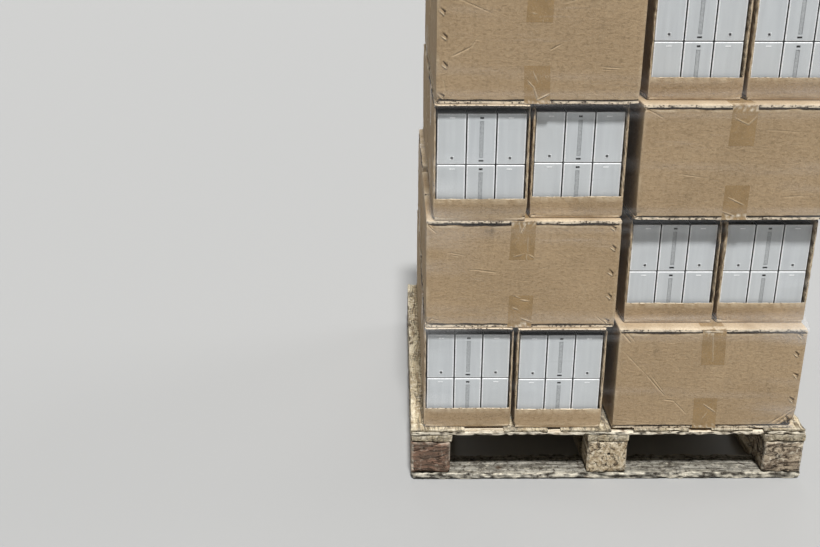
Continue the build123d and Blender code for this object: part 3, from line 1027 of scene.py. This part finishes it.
# %% Walls with a window
def display_walls():
    front = -LONG / 2
    inner = WIDE / 2 - BOARD
    top = TALL - BOARD - 0.0015

    def in_window(f):
        middle = f.calc_center_median()
        return f.normal.x < -0.9 and middle.z > LIP and middle.z < top and abs(middle.y) < inner

    bm = folded_box()
    cut_grid(bm, 0, stations(front, -front, 0.022))
    cut_grid(bm, 1, [-inner] + stations(-inner, inner, 0.009) + [inner])
    cut_grid(bm, 2, [0.013, 0.022, 0.040, LIP] + stations(LIP, top, 0.009) + [top])
    bm.normal_update()
    bmesh.ops.delete(bm, geom=[f for f in bm.faces if in_window(f)], context="FACES")
    merge_covers(bm)
    bmesh.ops.dissolve_faces(bm, faces=[f for f in bm.faces if f.normal.x > 0.9], use_verts=False)
    room = block_of((front + BOARD, -inner, 2 * BOARD), (-front - BOARD, inner, top))
    cut_grid(room, 2, [LIP])
    cut_grid(room, 1, stations(-inner, inner, 0.009))
    cut_grid(room, 2, stations(LIP, top, 0.009))
    room.normal_update()
    opening = [f for f in room.faces if f.normal.x < -0.9 and f.calc_center_median().z > LIP]
    bmesh.ops.delete(room, geom=opening, context="FACES")
    bmesh.ops.reverse_faces(room, faces=room.faces)
    join_into(bm, room, Matrix.Identity(4))
    room.free()
    rim = bmesh.ops.bridge_loops(bm, edges=[e for e in bm.edges if e.is_boundary])
    bm.normal_update()
    for f in rim["faces"]:
        f.material_index = 1
    bmesh.ops.recalc_face_normals(bm, faces=bm.faces)
    return bm


DISPLAY = display_walls()
print("display walls", len(DISPLAY.faces), "open edges", sum(e.is_boundary for e in DISPLAY.edges))


# %% The torn rim of the window
def fray_window(bm, rng):
    """Moves the rim in and out by small nibs, and paints it. The front of the lip is a little grimy."""
    wear_and_highlight_layer, grime_and_shade_layer, _ = paint_layers(bm)
    front = -LONG / 2
    for v in bm.verts:
        if v.co.x < front + BOARD + 0.001 and v.co.z > LIP - 0.004:
            nib = rng.uniform(-1, 1)
            v.co.x += 0.0008 * abs(nib)
            if v.co.z < LIP + 0.002:
                v.co.z += 0.0008 * nib
            elif v.co.z < TALL - BOARD - 0.004:
                v.co.y += 0.0007 * nib
            else:
                v.co.z += 0.0006 * nib
            v[wear_and_highlight_layer] = min(1.0, v[wear_and_highlight_layer] + 0.35 + 0.35 * nib)
            if v.co.z > LIP + 0.002:
                v[grime_and_shade_layer] = 0.9 * max(0.0, -nib)
        elif v.co.x < front + 0.001 and v.co.z < LIP:
            v[grime_and_shade_layer] = 0.16


# %% A whole display carton
def in_room(co):
    """Whether a place is on the inner walls, round the packs."""
    across = abs(co.y) < WIDE / 2 - BOARD + 0.002
    return across and 2 * BOARD - 0.001 < co.z < TALL - BOARD - 0.001 and co.x > -LONG / 2 + BOARD - 0.001


def over_opening(co):
    """Whether a place is just under the flap over the window."""
    across = abs(co.y) < WIDE / 2 - 0.004
    return across and co.x < -LONG / 2 + 0.012 and TALL - 0.0085 < co.z < TALL - BOARD + 0.0002


def display_carton(marks, number):
    whole = DISPLAY.copy()
    whole.normal_update()
    for line in marks["creases"]:
        score(whole, line, facing_of(line))
    dent(whole, marks, number)
    # The inner walls round the packs are painted with shade.
    shade(whole, in_room, 0.85)
    fray_window(whole, random.Random(number * 100))
    add_flaps(whole, marks, number, windowed=True)
    # The strip under the flap over the window is painted with shade.
    shade(whole, over_opening, SEAM_SHADE)
    return whole


# %% [markdown]
# ## Packs
# Six packs show in each window. A pack is a cube with rounded edges. The middle packs have a slot near the
# top and bottom and a shallow groove between them, which are cut out of the front face and pushed in. The
# outer packs have a small raised frame with a hole in it near the bottom, and a raised tab near the top.


# %% Cut a small rectangle out of the front face and push it in or out
def front_patch(bm, x, half, z0, z1, depth, y_front):
    """The rectangle is twice half wide, in the part of the front that lies at y_front or before it."""
    def face_here(f):
        return f.normal.y < -0.99 and f.calc_center_median().y < y_front + 0.0005

    cut_grid(bm, 0, [x - half, x + half], face_here)
    cut_grid(bm, 2, [z0, z1], face_here)
    bm.normal_update()
    patch = []
    for f in bm.faces:
        middle = f.calc_center_median()
        if face_here(f) and x - half < middle.x < x + half and z0 < middle.z < z1:
            patch.append(f)
    made = bmesh.ops.extrude_face_region(bm, geom=patch)
    verts = [g for g in made["geom"] if isinstance(g, bmesh.types.BMVert)]
    bmesh.ops.delete(bm, geom=patch, context="FACES")
    bmesh.ops.translate(bm, vec=(0, depth, 0), verts=verts)
    bm.normal_update()


# %% The boxes of the six packs: two that touch come out as one column, which is split at half its height
def pack_boxes(node):
    boxes = []
    for low, high in solids_of(node):
        rows = round((high.z - low.z) / PACK_TALL)
        for row in range(rows):
            z0 = low.z + (high.z - low.z) * row / rows
            z1 = low.z + (high.z - low.z) * (row + 1) / rows
            boxes.append((Vector((low.x, low.y, z0)), Vector((high.x, high.y, z1))))
    return boxes


# %% One pack, in its own box
PACK_ROUND = 0.0028
SLOT_RIM = 0.0009
GROOVE_DEEP = 0.0014
RAISED = 0.0006


def white_pack(low, high, slotted, number):
    bm = block_of(low, high)
    round_edges(bm, bm.edges[:], PACK_ROUND, 2)
    for axis in (0, 2):
        cut_grid(bm, axis, [low[axis] + 0.0040, high[axis] - 0.0040])
    bm.normal_update()
    middle = (low.x + high.x) / 2
    if slotted:
        slots = [(middle, 0.0058, low.z + 0.0088, low.z + 0.0124, low.y + 0.0001),
                 (middle, 0.0044, high.z - 0.0136, high.z - 0.0094, low.y + 0.0001)]
        for x, half, z0, z1, y in slots:
            front_patch(bm, x, half + SLOT_RIM, z0 - SLOT_RIM, z1 + SLOT_RIM, 0.0001, low.y)
            front_patch(bm, x, half, z0, z1, 0.0030, y)
        front_patch(bm, middle, 0.0052, low.z + 0.018, high.z - 0.020, GROOVE_DEEP, low.y)
        front_patch(bm, middle, 0.0036, low.z + 0.0195, high.z - 0.0215, -0.0009, low.y + GROOVE_DEEP)
    else:
        at = middle + 0.003 * math.sin(number * 9)
        slots = [(at, 0.0020, low.z + 0.0158, low.z + 0.0198, low.y - RAISED)]
        front_patch(bm, at, 0.0048, low.z + 0.0132, low.z + 0.0224, -RAISED, low.y)
        front_patch(bm, at, 0.0020, low.z + 0.0158, low.z + 0.0198, 0.0026, low.y - RAISED)
        front_patch(bm, at, 0.007, high.z - 0.0125, high.z - 0.0095, -0.0005, low.y)
    paint_pack(bm, low, high, slotted, slots, number)
    return bm


def paint_pack(bm, low, high, slotted, slots, number):
    """Rounded and raised edges get a painted highlight. Slots, joints and the groove's outline get painted
    shade, and the strip in the groove is a little grey.
    """
    wear_and_highlight_layer, grime_and_shade_layer, piece_layer = paint_layers(bm)
    middle = (low.x + high.x) / 2
    for v in bm.verts:
        in_slot = any(abs(v.co.x - x) < half + 1e-5 and z0 - 1e-5 < v.co.z < z1 + 1e-5 and v.co.y > y - 1e-5
                      for x, half, z0, z1, y in slots)
        from_middle = abs(v.co.x - middle)
        outline = slotted and from_middle < 0.006 and low.y + 0.0010 < v.co.y < low.y + 0.0018
        on_strip = slotted and from_middle < 0.004 and low.y + 0.0003 < v.co.y < low.y + 0.0008
        off = [min(v.co[k] - low[k], high[k] - v.co[k]) for k in range(3)]
        rounded = sorted(off)[1] < 0.0029 and v.co.y < low.y + PACK_ROUND
        raised = v.co.y < low.y - 0.0002
        in_joint = min(off[0], off[2]) < 0.0003 or v.co.z < low.z + 0.0012
        v[piece_layer] = number
        # Painted highlights on the edges, painted shade in the joints, slots and along the groove.
        v[wear_and_highlight_layer] = 1.0 if (rounded or raised) and not in_slot and not in_joint else 0.0
        v[grime_and_shade_layer] = 2.0 if in_joint else 1.2 if in_slot else 0.50 * outline + 0.38 * on_strip


# %% [markdown]
# ## Build every layer
# The boxes of the CAD solids say where each carton stands and which way it is turned. A carton that is
# longer in Y than in X is turned a quarter, so that the window, drawn facing -X, faces the front. The packs
# behind the front ones are the CAD blocks themselves, with the pack material.


# %% Put a carton, drawn lying along X, where a CAD box is
def placed(box):
    low, high = box
    at = Vector(((low.x + high.x) / 2, (low.y + high.y) / 2, low.z))
    move = Matrix.Translation(at)
    if high.y - low.y > high.x - low.x:
        move = move @ Matrix.Rotation(math.pi / 2, 4, "Z")
    return move


def tape_both(target, marks, number, move, fine, seed):
    rng = random.Random(seed)
    for over_top in (True, False):
        band = tape_band(marks, number + 0.3 * over_top, over_top, fine, rng)
        bmesh.ops.solidify(band, geom=band.faces[:], thickness=TAPE_THICK)
        join_into(target, band, move)
        band.free()


# %% The closed cartons of a layer
def closed_pieces(index, tape_mesh):
    """The foremost carton of a layer is seen best: it is sliced finely and has the photo's marks."""
    layer = f"layer{index + 1}"
    for group in ("front_across", "back_across", "back_end_on"):
        node = f"{layer}_{group}_cartons"
        whole = bmesh.new()
        for place, box in enumerate(solids_of(node)):
            seed = 100 * index + 10 * len(group) + place
            fine = group == "front_across" and place == 0
            marks = front_marks(layer, seed) if fine else random_marks(seed)
            number = (seed % 37) / 37 + 0.01
            carton = closed_carton(marks, number, fine)
            move = placed(box)
            join_into(whole, carton, move)
            carton.free()
            tape_both(tape_mesh, marks, number, move, fine, seed)
        made.append(as_piece(node + "_folded", whole, [kraft, cut_edge], node))


# %% The display cartons of a layer, with their packs
def display_pieces(index, side, tape_mesh):
    layer = f"layer{index + 1}"
    node = f"{layer}_display_carton_{side}"
    seed = 500 + 10 * index + (side == "left")
    number = (seed % 29) / 29
    marks = random_marks(seed)
    marks["creases"] = [c for c in marks["creases"] if c["a"].x > -LONG / 2 + 0.002]
    move = placed(solids_of(node)[0])
    carton = display_carton(marks, number)
    bmesh.ops.transform(carton, matrix=move, verts=carton.verts)
    made.append(as_piece(node + "_folded", carton, [kraft, cut_edge], node))
    tape_both(tape_mesh, marks, number, move, False, seed)
    node = f"{layer}_packs_{side}"
    packs = bmesh.new()
    boxes = pack_boxes(node)
    columns = sorted({round(box[0].x, 4) for box in boxes})
    for place, (low, high) in enumerate(boxes):
        slotted = abs(low.x - columns[len(columns) // 2]) < 0.001
        pack = white_pack(low, high, slotted, 0.07 * place + 0.11 * index)
        join_into(packs, pack, Matrix.Identity(4))
        pack.free()
    made.append(as_piece(node + "_moulded", packs, [pack_white], node, 50))


# %% Make the layers
made = []
for index in range(LAYERS):
    tape_mesh = bmesh.new()
    closed_pieces(index, tape_mesh)
    for side in ("left", "right"):
        display_pieces(index, side, tape_mesh)
    layer = f"layer{index + 1}"
    made.append(as_piece(f"{layer}_tape_laid", tape_mesh, [tape_brown], f"{layer}_tape", 60))
    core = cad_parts[f"{layer}_inner_packs"]
    core.data.materials.clear()
    core.data.materials.append(pack_white)
print("carton, pack and tape pieces", len(made))
for shape in (WALLS, FINE_WALLS, FLAP, DISPLAY):
    shape.free()

# %% [markdown]
# ## Pallet timber
# Every board and block is a sliced cube too. Its edges are rounded a little and then chipped: noise along
# an edge pushes its vertices in, so that no edge is straight. The ends of boards are a little darker.


# %% A sliced cube for one piece of timber
def sliced_timber(low, high, along, block, long_step, flecked):
    bm = block_of(low, high)
    size = high - low
    if block:
        edges = [e for e in bm.edges if runs_along(e, 2)]
        round_edges(bm, edges, 0.006, 2)
        rest = [e for e in bm.edges if not runs_along(e, 2) and e.calc_length() > 0.02]
        round_edges(bm, rest, 0.002, 1)
    else:
        edges = [e for e in bm.edges if runs_along(e, along)]
        round_edges(bm, edges, 0.0022, 2)
    for axis in range(3):
        step = long_step if axis == along else 0.018
        if block:
            step = 0.009
        if size[axis] > 0.03:
            cut_grid(bm, axis, stations(low[axis], high[axis], step))
        elif flecked:
            cut_grid(bm, axis, stations(low[axis] + 0.002, high[axis] - 0.002, 0.005))
    return bm


# %% One piece of timber
def timber(low, high, number, chip, long_step=0.022, top_darkening=0.0, flecked=0.0):
    """Flecked boards are cut finely, and get pale and dark flecks on their front edge."""
    size = high - low
    along = max(range(3), key=lambda k: size[k])
    bm = sliced_timber(low, high, along, min(size) > 0.05, long_step, flecked)
    wear_and_highlight_layer, grime_and_shade_layer, piece_layer = paint_layers(bm)
    bm.normal_update()
    middle = (low + high) / 2
    moves = []
    for v in bm.verts:
        off = [min(v.co[k] - low[k], high[k] - v.co[k]) for k in range(3)]
        near = sorted(off)
        at_edge = near[1] < 0.006
        bite = max(0.0, noise.noise(v.co * 26 + Vector((number * 9, 0, 0))) - 0.05)
        bite += 0.8 * max(0.0, noise.noise(v.co * 75 + Vector((number * 9, 4, 0))) - 0.12)
        fine = noise.noise(v.co * 110)
        inward = middle - v.co
        inward[along] *= 0.05 if near[0] != off[along] else 1.0
        inward = Vector([c / max(s, 0.001) for c, s in zip(inward, size)])
        if inward.length:
            inward.normalize()
        move = Vector((0, 0, 0))
        if at_edge:
            move += inward * chip * (bite * 2.6 + 0.12 * (1 + fine))
        move -= v.normal * 0.0004 * (1 + noise.noise(v.co * 40))
        moves.append(move)
        v[piece_layer] = number
        v[wear_and_highlight_layer] = 0.55 * at_edge * in_range(0.5 + 1.5 * fine + bite) * (v.normal.z > -0.3)
        # Board ends and undersides are painted darker.
        v[grime_and_shade_layer] = 0.15 * (off[along] < 0.002) + 0.35 * (v.normal.z < -0.7)
        # The top of a board can be painted darker all over.
        if v.normal.z > 0.9 and top_darkening:
            v[grime_and_shade_layer] = top_darkening * (0.7 + 0.6 * noise.noise(v.co * 30))
        if flecked and v.normal.y < -0.4:
            spot = noise.noise(Vector((v.co.x * 60, number, v.co.z * 130)))
            v[wear_and_highlight_layer] = in_range(flecked + 2.0 * spot)
            v[grime_and_shade_layer] = in_range(-0.10 - 3.4 * spot, 0.0, 1.6)
    for v, move in zip(bm.verts[:], moves):
        v.co += move
        for k in range(3):
            v.co[k] = in_range(v.co[k], low[k], high[k])
    return bm


# %% A nail hole in a block
def nail_hole(bm, centre, radius):
    """Draws the nearest front vertices in to a small hole that is painted with shade."""
    def near_hole(f):
        return f.normal.y < -0.8 and (f.calc_center_median() - Vector(centre)).xz.length < 4 * radius

    grime_and_shade_layer = bm.verts.layers.float["grime_and_shade"]
    bm.normal_update()
    for axis in (0, 2):
        cut_grid(bm, axis, [centre[axis] + k * radius / 2 for k in range(-5, 6)], near_hole)
    bm.normal_update()
    for v in bm.verts:
        flat = math.hypot(v.co.x - centre[0], v.co.z - centre[2])
        if v.normal.y < -0.5 and flat < 3 * radius:
            deep = math.exp(-(flat / radius) ** 4)
            v.co.y += 0.007 * deep
            v[grime_and_shade_layer] = min(2.0, v[grime_and_shade_layer] + 2.0 * deep)


# %% Every board and block, with its wood and how deeply its edges are chipped
BLOCK_WOOD = {"left": block_red, "middle": block_end, "right": block_grey}
# The two front boards: how finely they are sliced, how much darker the top is painted, and how pale their
# flecks are
FLECKED = {"base_board_front": (0.0085, 0.55, 0.25), "cross_board_front": (0.0085, 0.0, 0.45)}
plan = []
for side in BLOCK_WOOD:
    plan.append((f"base_runner_{side}", wood_y, 0.003))
    plan.append((f"stringer_board_{side}", wood_y, 0.003))
for row in ("front", "middle", "back"):
    plan.append((f"cross_board_{row}", wood_x, 0.004))
    for side, wood in BLOCK_WOOD.items():
        plan.append((f"block_{row}_{side}", wood, 0.005))
plan += [("base_board_front", wood_base, 0.006), ("base_board_back", wood_base, 0.006)]
for count, (node, wood, chip) in enumerate(plan):
    low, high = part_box(node)
    shape = timber(Vector(low), Vector(high), 0.13 * count + 0.05, chip, *FLECKED.get(node, ()))
    if node == "block_front_middle":
        nail_hole(shape, ((low[0] + high[0]) / 2 + 0.004, 0, low[2] + 0.058), 0.0042)
    made.append(as_piece(node + "_sawn", shape, [wood], node, 40))

# %% The deck slats, which are one CAD node
slats = bmesh.new()
for count, (low, high) in enumerate(solids_of("deck_slats")):
    slat = timber(low, high, 0.17 * count + 0.4, 0.004)
    join_into(slats, slat, Matrix.Identity(4))
    slat.free()
made.append(as_piece("deck_slats_sawn", slats, [wood_y], "deck_slats", 40))
print("timber pieces", len(plan) + 1)

# %% [markdown]
# ## Stretch film
# The film is pulled tight round the load, so at each layer it follows the outline of that layer's cartons
# and slopes from one layer to the next. It starts as a cube without its top and bottom, is sliced into a
# grid, and every vertex is moved on to the outline at its height.

# %% The outline of each layer
FILM_OUT = 0.0010
FILM_SLOPE = 0.024
TURN_LONG = 0.03
ABOVE_ALL = 9.0


def layer_outline(index):
    """The film's line round a layer: two sides, three fronts from left to right, two turns, and the back."""
    layer = f"layer{index + 1}"
    row = solids_of(f"{layer}_front_across_cartons")[0]
    pair = [solids_of(f"{layer}_display_carton_{side}")[0] for side in ("left", "right")]
    back = solids_of(f"{layer}_back_across_cartons")[-1]
    pair_y = min(box[0].y for box in pair)
    on_left = pair[0][0].x < row[0].x
    turn = row[0].x if on_left else row[1].x
    turns = sorted((turn, turn + (TURN_LONG if on_left else -TURN_LONG)))
    left_x, right_x = (pair[0][0].x, row[1].x) if on_left else (row[0].x, pair[1][1].x)
    left_y, right_y = (pair_y, row[0].y) if on_left else (row[0].y, pair_y)
    middle_y = min(row[0].y, pair_y)
    return [left_x, right_x, left_y, middle_y, right_y, turns[0], turns[1], back[1].y]


def film_lines():
    """The film's line at each height where it changes: it slopes in and out where two layers meet."""
    layers = [layer_outline(index) for index in range(LAYERS)]
    bottoms = [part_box(f"layer{index + 1}_display_carton_left")[0][2] for index in range(LAYERS)]
    lines = [(0.0, layers[0])]
    for lower, upper, z in zip(layers, layers[1:], bottoms[1:]):
        both = [min(lower[0], upper[0]), max(lower[1], upper[1])]
        both += [min(lower[k], upper[k]) for k in (2, 3, 4)] + lower[5:]
        lines += [(z - FILM_SLOPE, lower), (z, both), (z + FILM_SLOPE, upper)]
    return lines + [(ABOVE_ALL, layers[-1])]


FILM_LINES = film_lines()
CHANGES = [entry[0] for entry in FILM_LINES[1:-1]]
print("film changes at", [round(z, 3) for z in CHANGES])


# %% Where the film runs at a height
def film_at(x_share, y_share, z):
    """The shares say how far a point is from left to right and from front to back."""
    for (z0, lower), (z1, upper) in zip(FILM_LINES, FILM_LINES[1:]):
        if z0 <= z <= z1:
            share = (z - z0) / (z1 - z0)
            line = [a + (b - a) * share for a, b in zip(lower, upper)]
            break
    x0, x1, left_y, middle_y, right_y, turn0, turn1, back_y = line
    x = x0 - FILM_OUT + (x1 - x0 + 2 * FILM_OUT) * x_share
    if x < turn0:
        front = left_y + (middle_y - left_y) * max(0.0, (x - x0) / (turn0 - x0))
    elif x > turn1:
        front = right_y + (middle_y - right_y) * max(0.0, (x1 - x) / (x1 - turn1))
    else:
        front = middle_y
    front -= FILM_OUT
    return Vector((x, front + (back_y + FILM_OUT - front) * y_share, z))


# %% The sleeve before it is pulled tight
def film_sleeve(bottom, top):
    """A sleeve one metre square, sliced into a grid, and the vertices of the edge that is turned in."""
    bm = block_of((0, 0, bottom), (1, 1, top))
    upright = [e for e in bm.edges if runs_along(e, 2)]
    round_edges(bm, upright, 0.003, 2)
    bm.normal_update()
    bmesh.ops.delete(bm, geom=[f for f in bm.faces if abs(f.normal.z) > 0.9], context="FACES")
    for axis in (0, 1):
        cut_grid(bm, axis, stations(0.003, 0.997, 0.024))
    heights = [bottom] + CHANGES + [top]
    for z0, z1 in zip(heights, heights[1:]):
        cut_grid(bm, 2, ([z0] if z0 in CHANGES else []) + stations(z0, z1, 0.0145))
    rim = [e for e in bm.edges if e.is_boundary and e.verts[0].co.z > top - 0.0001]
    turned = bmesh.ops.extrude_edge_only(bm, edges=rim)["geom"]
    return bm, {g for g in turned if isinstance(g, bmesh.types.BMVert)}


# %% The film itself
LAP_RISE = 0.21
TUCK = 0.016


def outward(share):
    """-1 or 1 at the two ends of a side, and 0 between them."""
    return 0.0 if 0.001 <= share <= 0.999 else math.copysign(1, share - 0.5)


def near_end(share):
    """1 at the ends of a side, falling to 0 within the outer 16 hundredths."""
    return max(0.0, 1 - min(share, 1 - share) / 0.16)


def stretch_film():
    """Pale streaks are painted at the corners, along the laps of the winding, and where two layers meet: the
    laps are cloudy film, and the corners and layer joins are painted glints.
    """
    low, high = (Vector(c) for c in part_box("stretch_film"))
    bm, tucked = film_sleeve(low.z, high.z - 0.00005)
    wear_and_highlight_layer = paint_layers(bm)[0]
    for v in bm.verts:
        share_x, share_y, z = v.co
        co = film_at(share_x, share_y, z)
        side = Vector((outward(share_x), outward(share_y), 0))
        corner = near_end(share_x) * near_end(share_y)
        ripple = noise.noise(Vector((co.x * 3 + co.z * 16, co.y * 3, co.z * 22)))
        lap = 0.5 + 0.5 * math.sin((co.z + 0.05 * co.x + 0.03 * co.y) * 2 * math.pi / LAP_RISE)
        co -= side * 0.0005 * (0.5 + 0.5 * ripple)
        from_step = min(abs(co.z - change) for change in CHANGES)
        # The corners and the joins between layers get painted glints; the laps are cloudy film.
        v[wear_and_highlight_layer] = 0.6 * max(0.0, corner * (ripple - 0.1)) + 0.09 * lap ** 60
        v[wear_and_highlight_layer] += 0.12 * math.exp(-from_step / 0.006)
        if v in tucked:
            fold = TUCK + 0.008 * noise.noise(Vector((co.x * 9, co.y * 9, 3)))
            co.x -= (2 * share_x - 1) * fold * abs(side.x)
            co.y -= (2 * share_y - 1) * fold * abs(side.y)
            v[wear_and_highlight_layer] = 0.4
        v.co = co
    bmesh.ops.recalc_face_normals(bm, faces=bm.faces)
    return bm


film = as_piece("stretch_film_wound", stretch_film(), [film_clear], "stretch_film", 80)
print("film faces", len(film.data.polygons))

# %% [markdown]
# ## Floor, light and camera
# The photo was taken from the front, a little to the left and from just above the load's height, looking
# down. The camera's place was worked out from the corners of the cartons. The floor is pale and plain, and
# the light comes mostly from the front and above.

# %% Floor
FLOOR_HALF = 40
floor_mesh = bmesh.new()
bmesh.ops.create_grid(floor_mesh, x_segments=1, y_segments=1, size=FLOOR_HALF)
floor_data = bpy.data.meshes.new("floor")
floor_mesh.to_mesh(floor_data)
floor_mesh.free()
floor = bpy.data.objects.new("floor", floor_data)
bpy.context.scene.collection.objects.link(floor)
floor_material, _, shader = new_material("pale floor", 0.9)
shader.inputs["Base Color"].default_value = (0.38, 0.38, 0.375, 1)
floor_data.materials.append(floor_material)

# %% World and lamps
world = bpy.data.worlds.new("studio")
bpy.context.scene.world = world
world.use_nodes = True
sky = world.node_tree
background = sky.nodes["Background"]
rays = add_node(sky, "ShaderNodeLightPath")
mirrored = mathed(sky, "MAXIMUM", rays.outputs["Is Transmission Ray"], rays.outputs["Is Glossy Ray"])
seen = mathed(sky, "MAXIMUM", rays.outputs["Is Camera Ray"], mirrored)
sky.links.new(mixed(sky, seen, (0.08, 0.08, 0.08, 1), (1, 1, 1, 1)), background.inputs["Color"])


def soft_sun(name, towards, strength, softness):
    """A distant lamp that shines from the given side; the softness is its width in degrees."""
    lamp = bpy.data.lights.new(name, "SUN")
    lamp.energy = strength
    lamp.angle = math.radians(softness)
    holder = bpy.data.objects.new(name, lamp)
    bpy.context.scene.collection.objects.link(holder)
    holder.rotation_euler = (-Vector(towards)).to_track_quat("-Z", "Y").to_euler()


soft_sun("overhead key", (0.03, -0.42, 0.91), 4.5, 6)
soft_sun("left fill", (-0.80, 0.25, 0.55), 0.26, 30)
soft_sun("right fill", (0.80, 0.30, 0.55), 0.50, 30)
soft_sun("back fill", (0.10, 0.70, 0.75), 0.45, 30)
bpy.context.scene.view_settings.view_transform = "Standard"

# %% Camera
PICTURE_WIDE = 820
FOCAL_PIXELS = 1002.09
CAMERA_AT = (-0.5845, -2.9785, 1.5515)
TURN, TILT, LEAN = (math.radians(a) for a in (0.7227, 20.9384, 0.2133))
ahead = Vector((math.sin(TURN) * math.cos(TILT), math.cos(TURN) * math.cos(TILT), -math.sin(TILT)))
level = Vector((math.cos(TURN), -math.sin(TURN), 0))
upward = level.cross(ahead)
right = math.cos(LEAN) * level + math.sin(LEAN) * upward
top = -math.sin(LEAN) * level + math.cos(LEAN) * upward
lens = bpy.data.cameras.new("photo camera")
lens.sensor_fit = "HORIZONTAL"
lens.angle = 2 * math.atan(PICTURE_WIDE / 2 / FOCAL_PIXELS)
camera = bpy.data.objects.new("photo camera", lens)
bpy.context.scene.collection.objects.link(camera)
camera.matrix_world = Matrix.Translation(CAMERA_AT) @ Matrix((right, top, -ahead)).transposed().to_4x4()
bpy.context.scene.camera = camera
print("camera angle", round(math.degrees(lens.angle), 2))
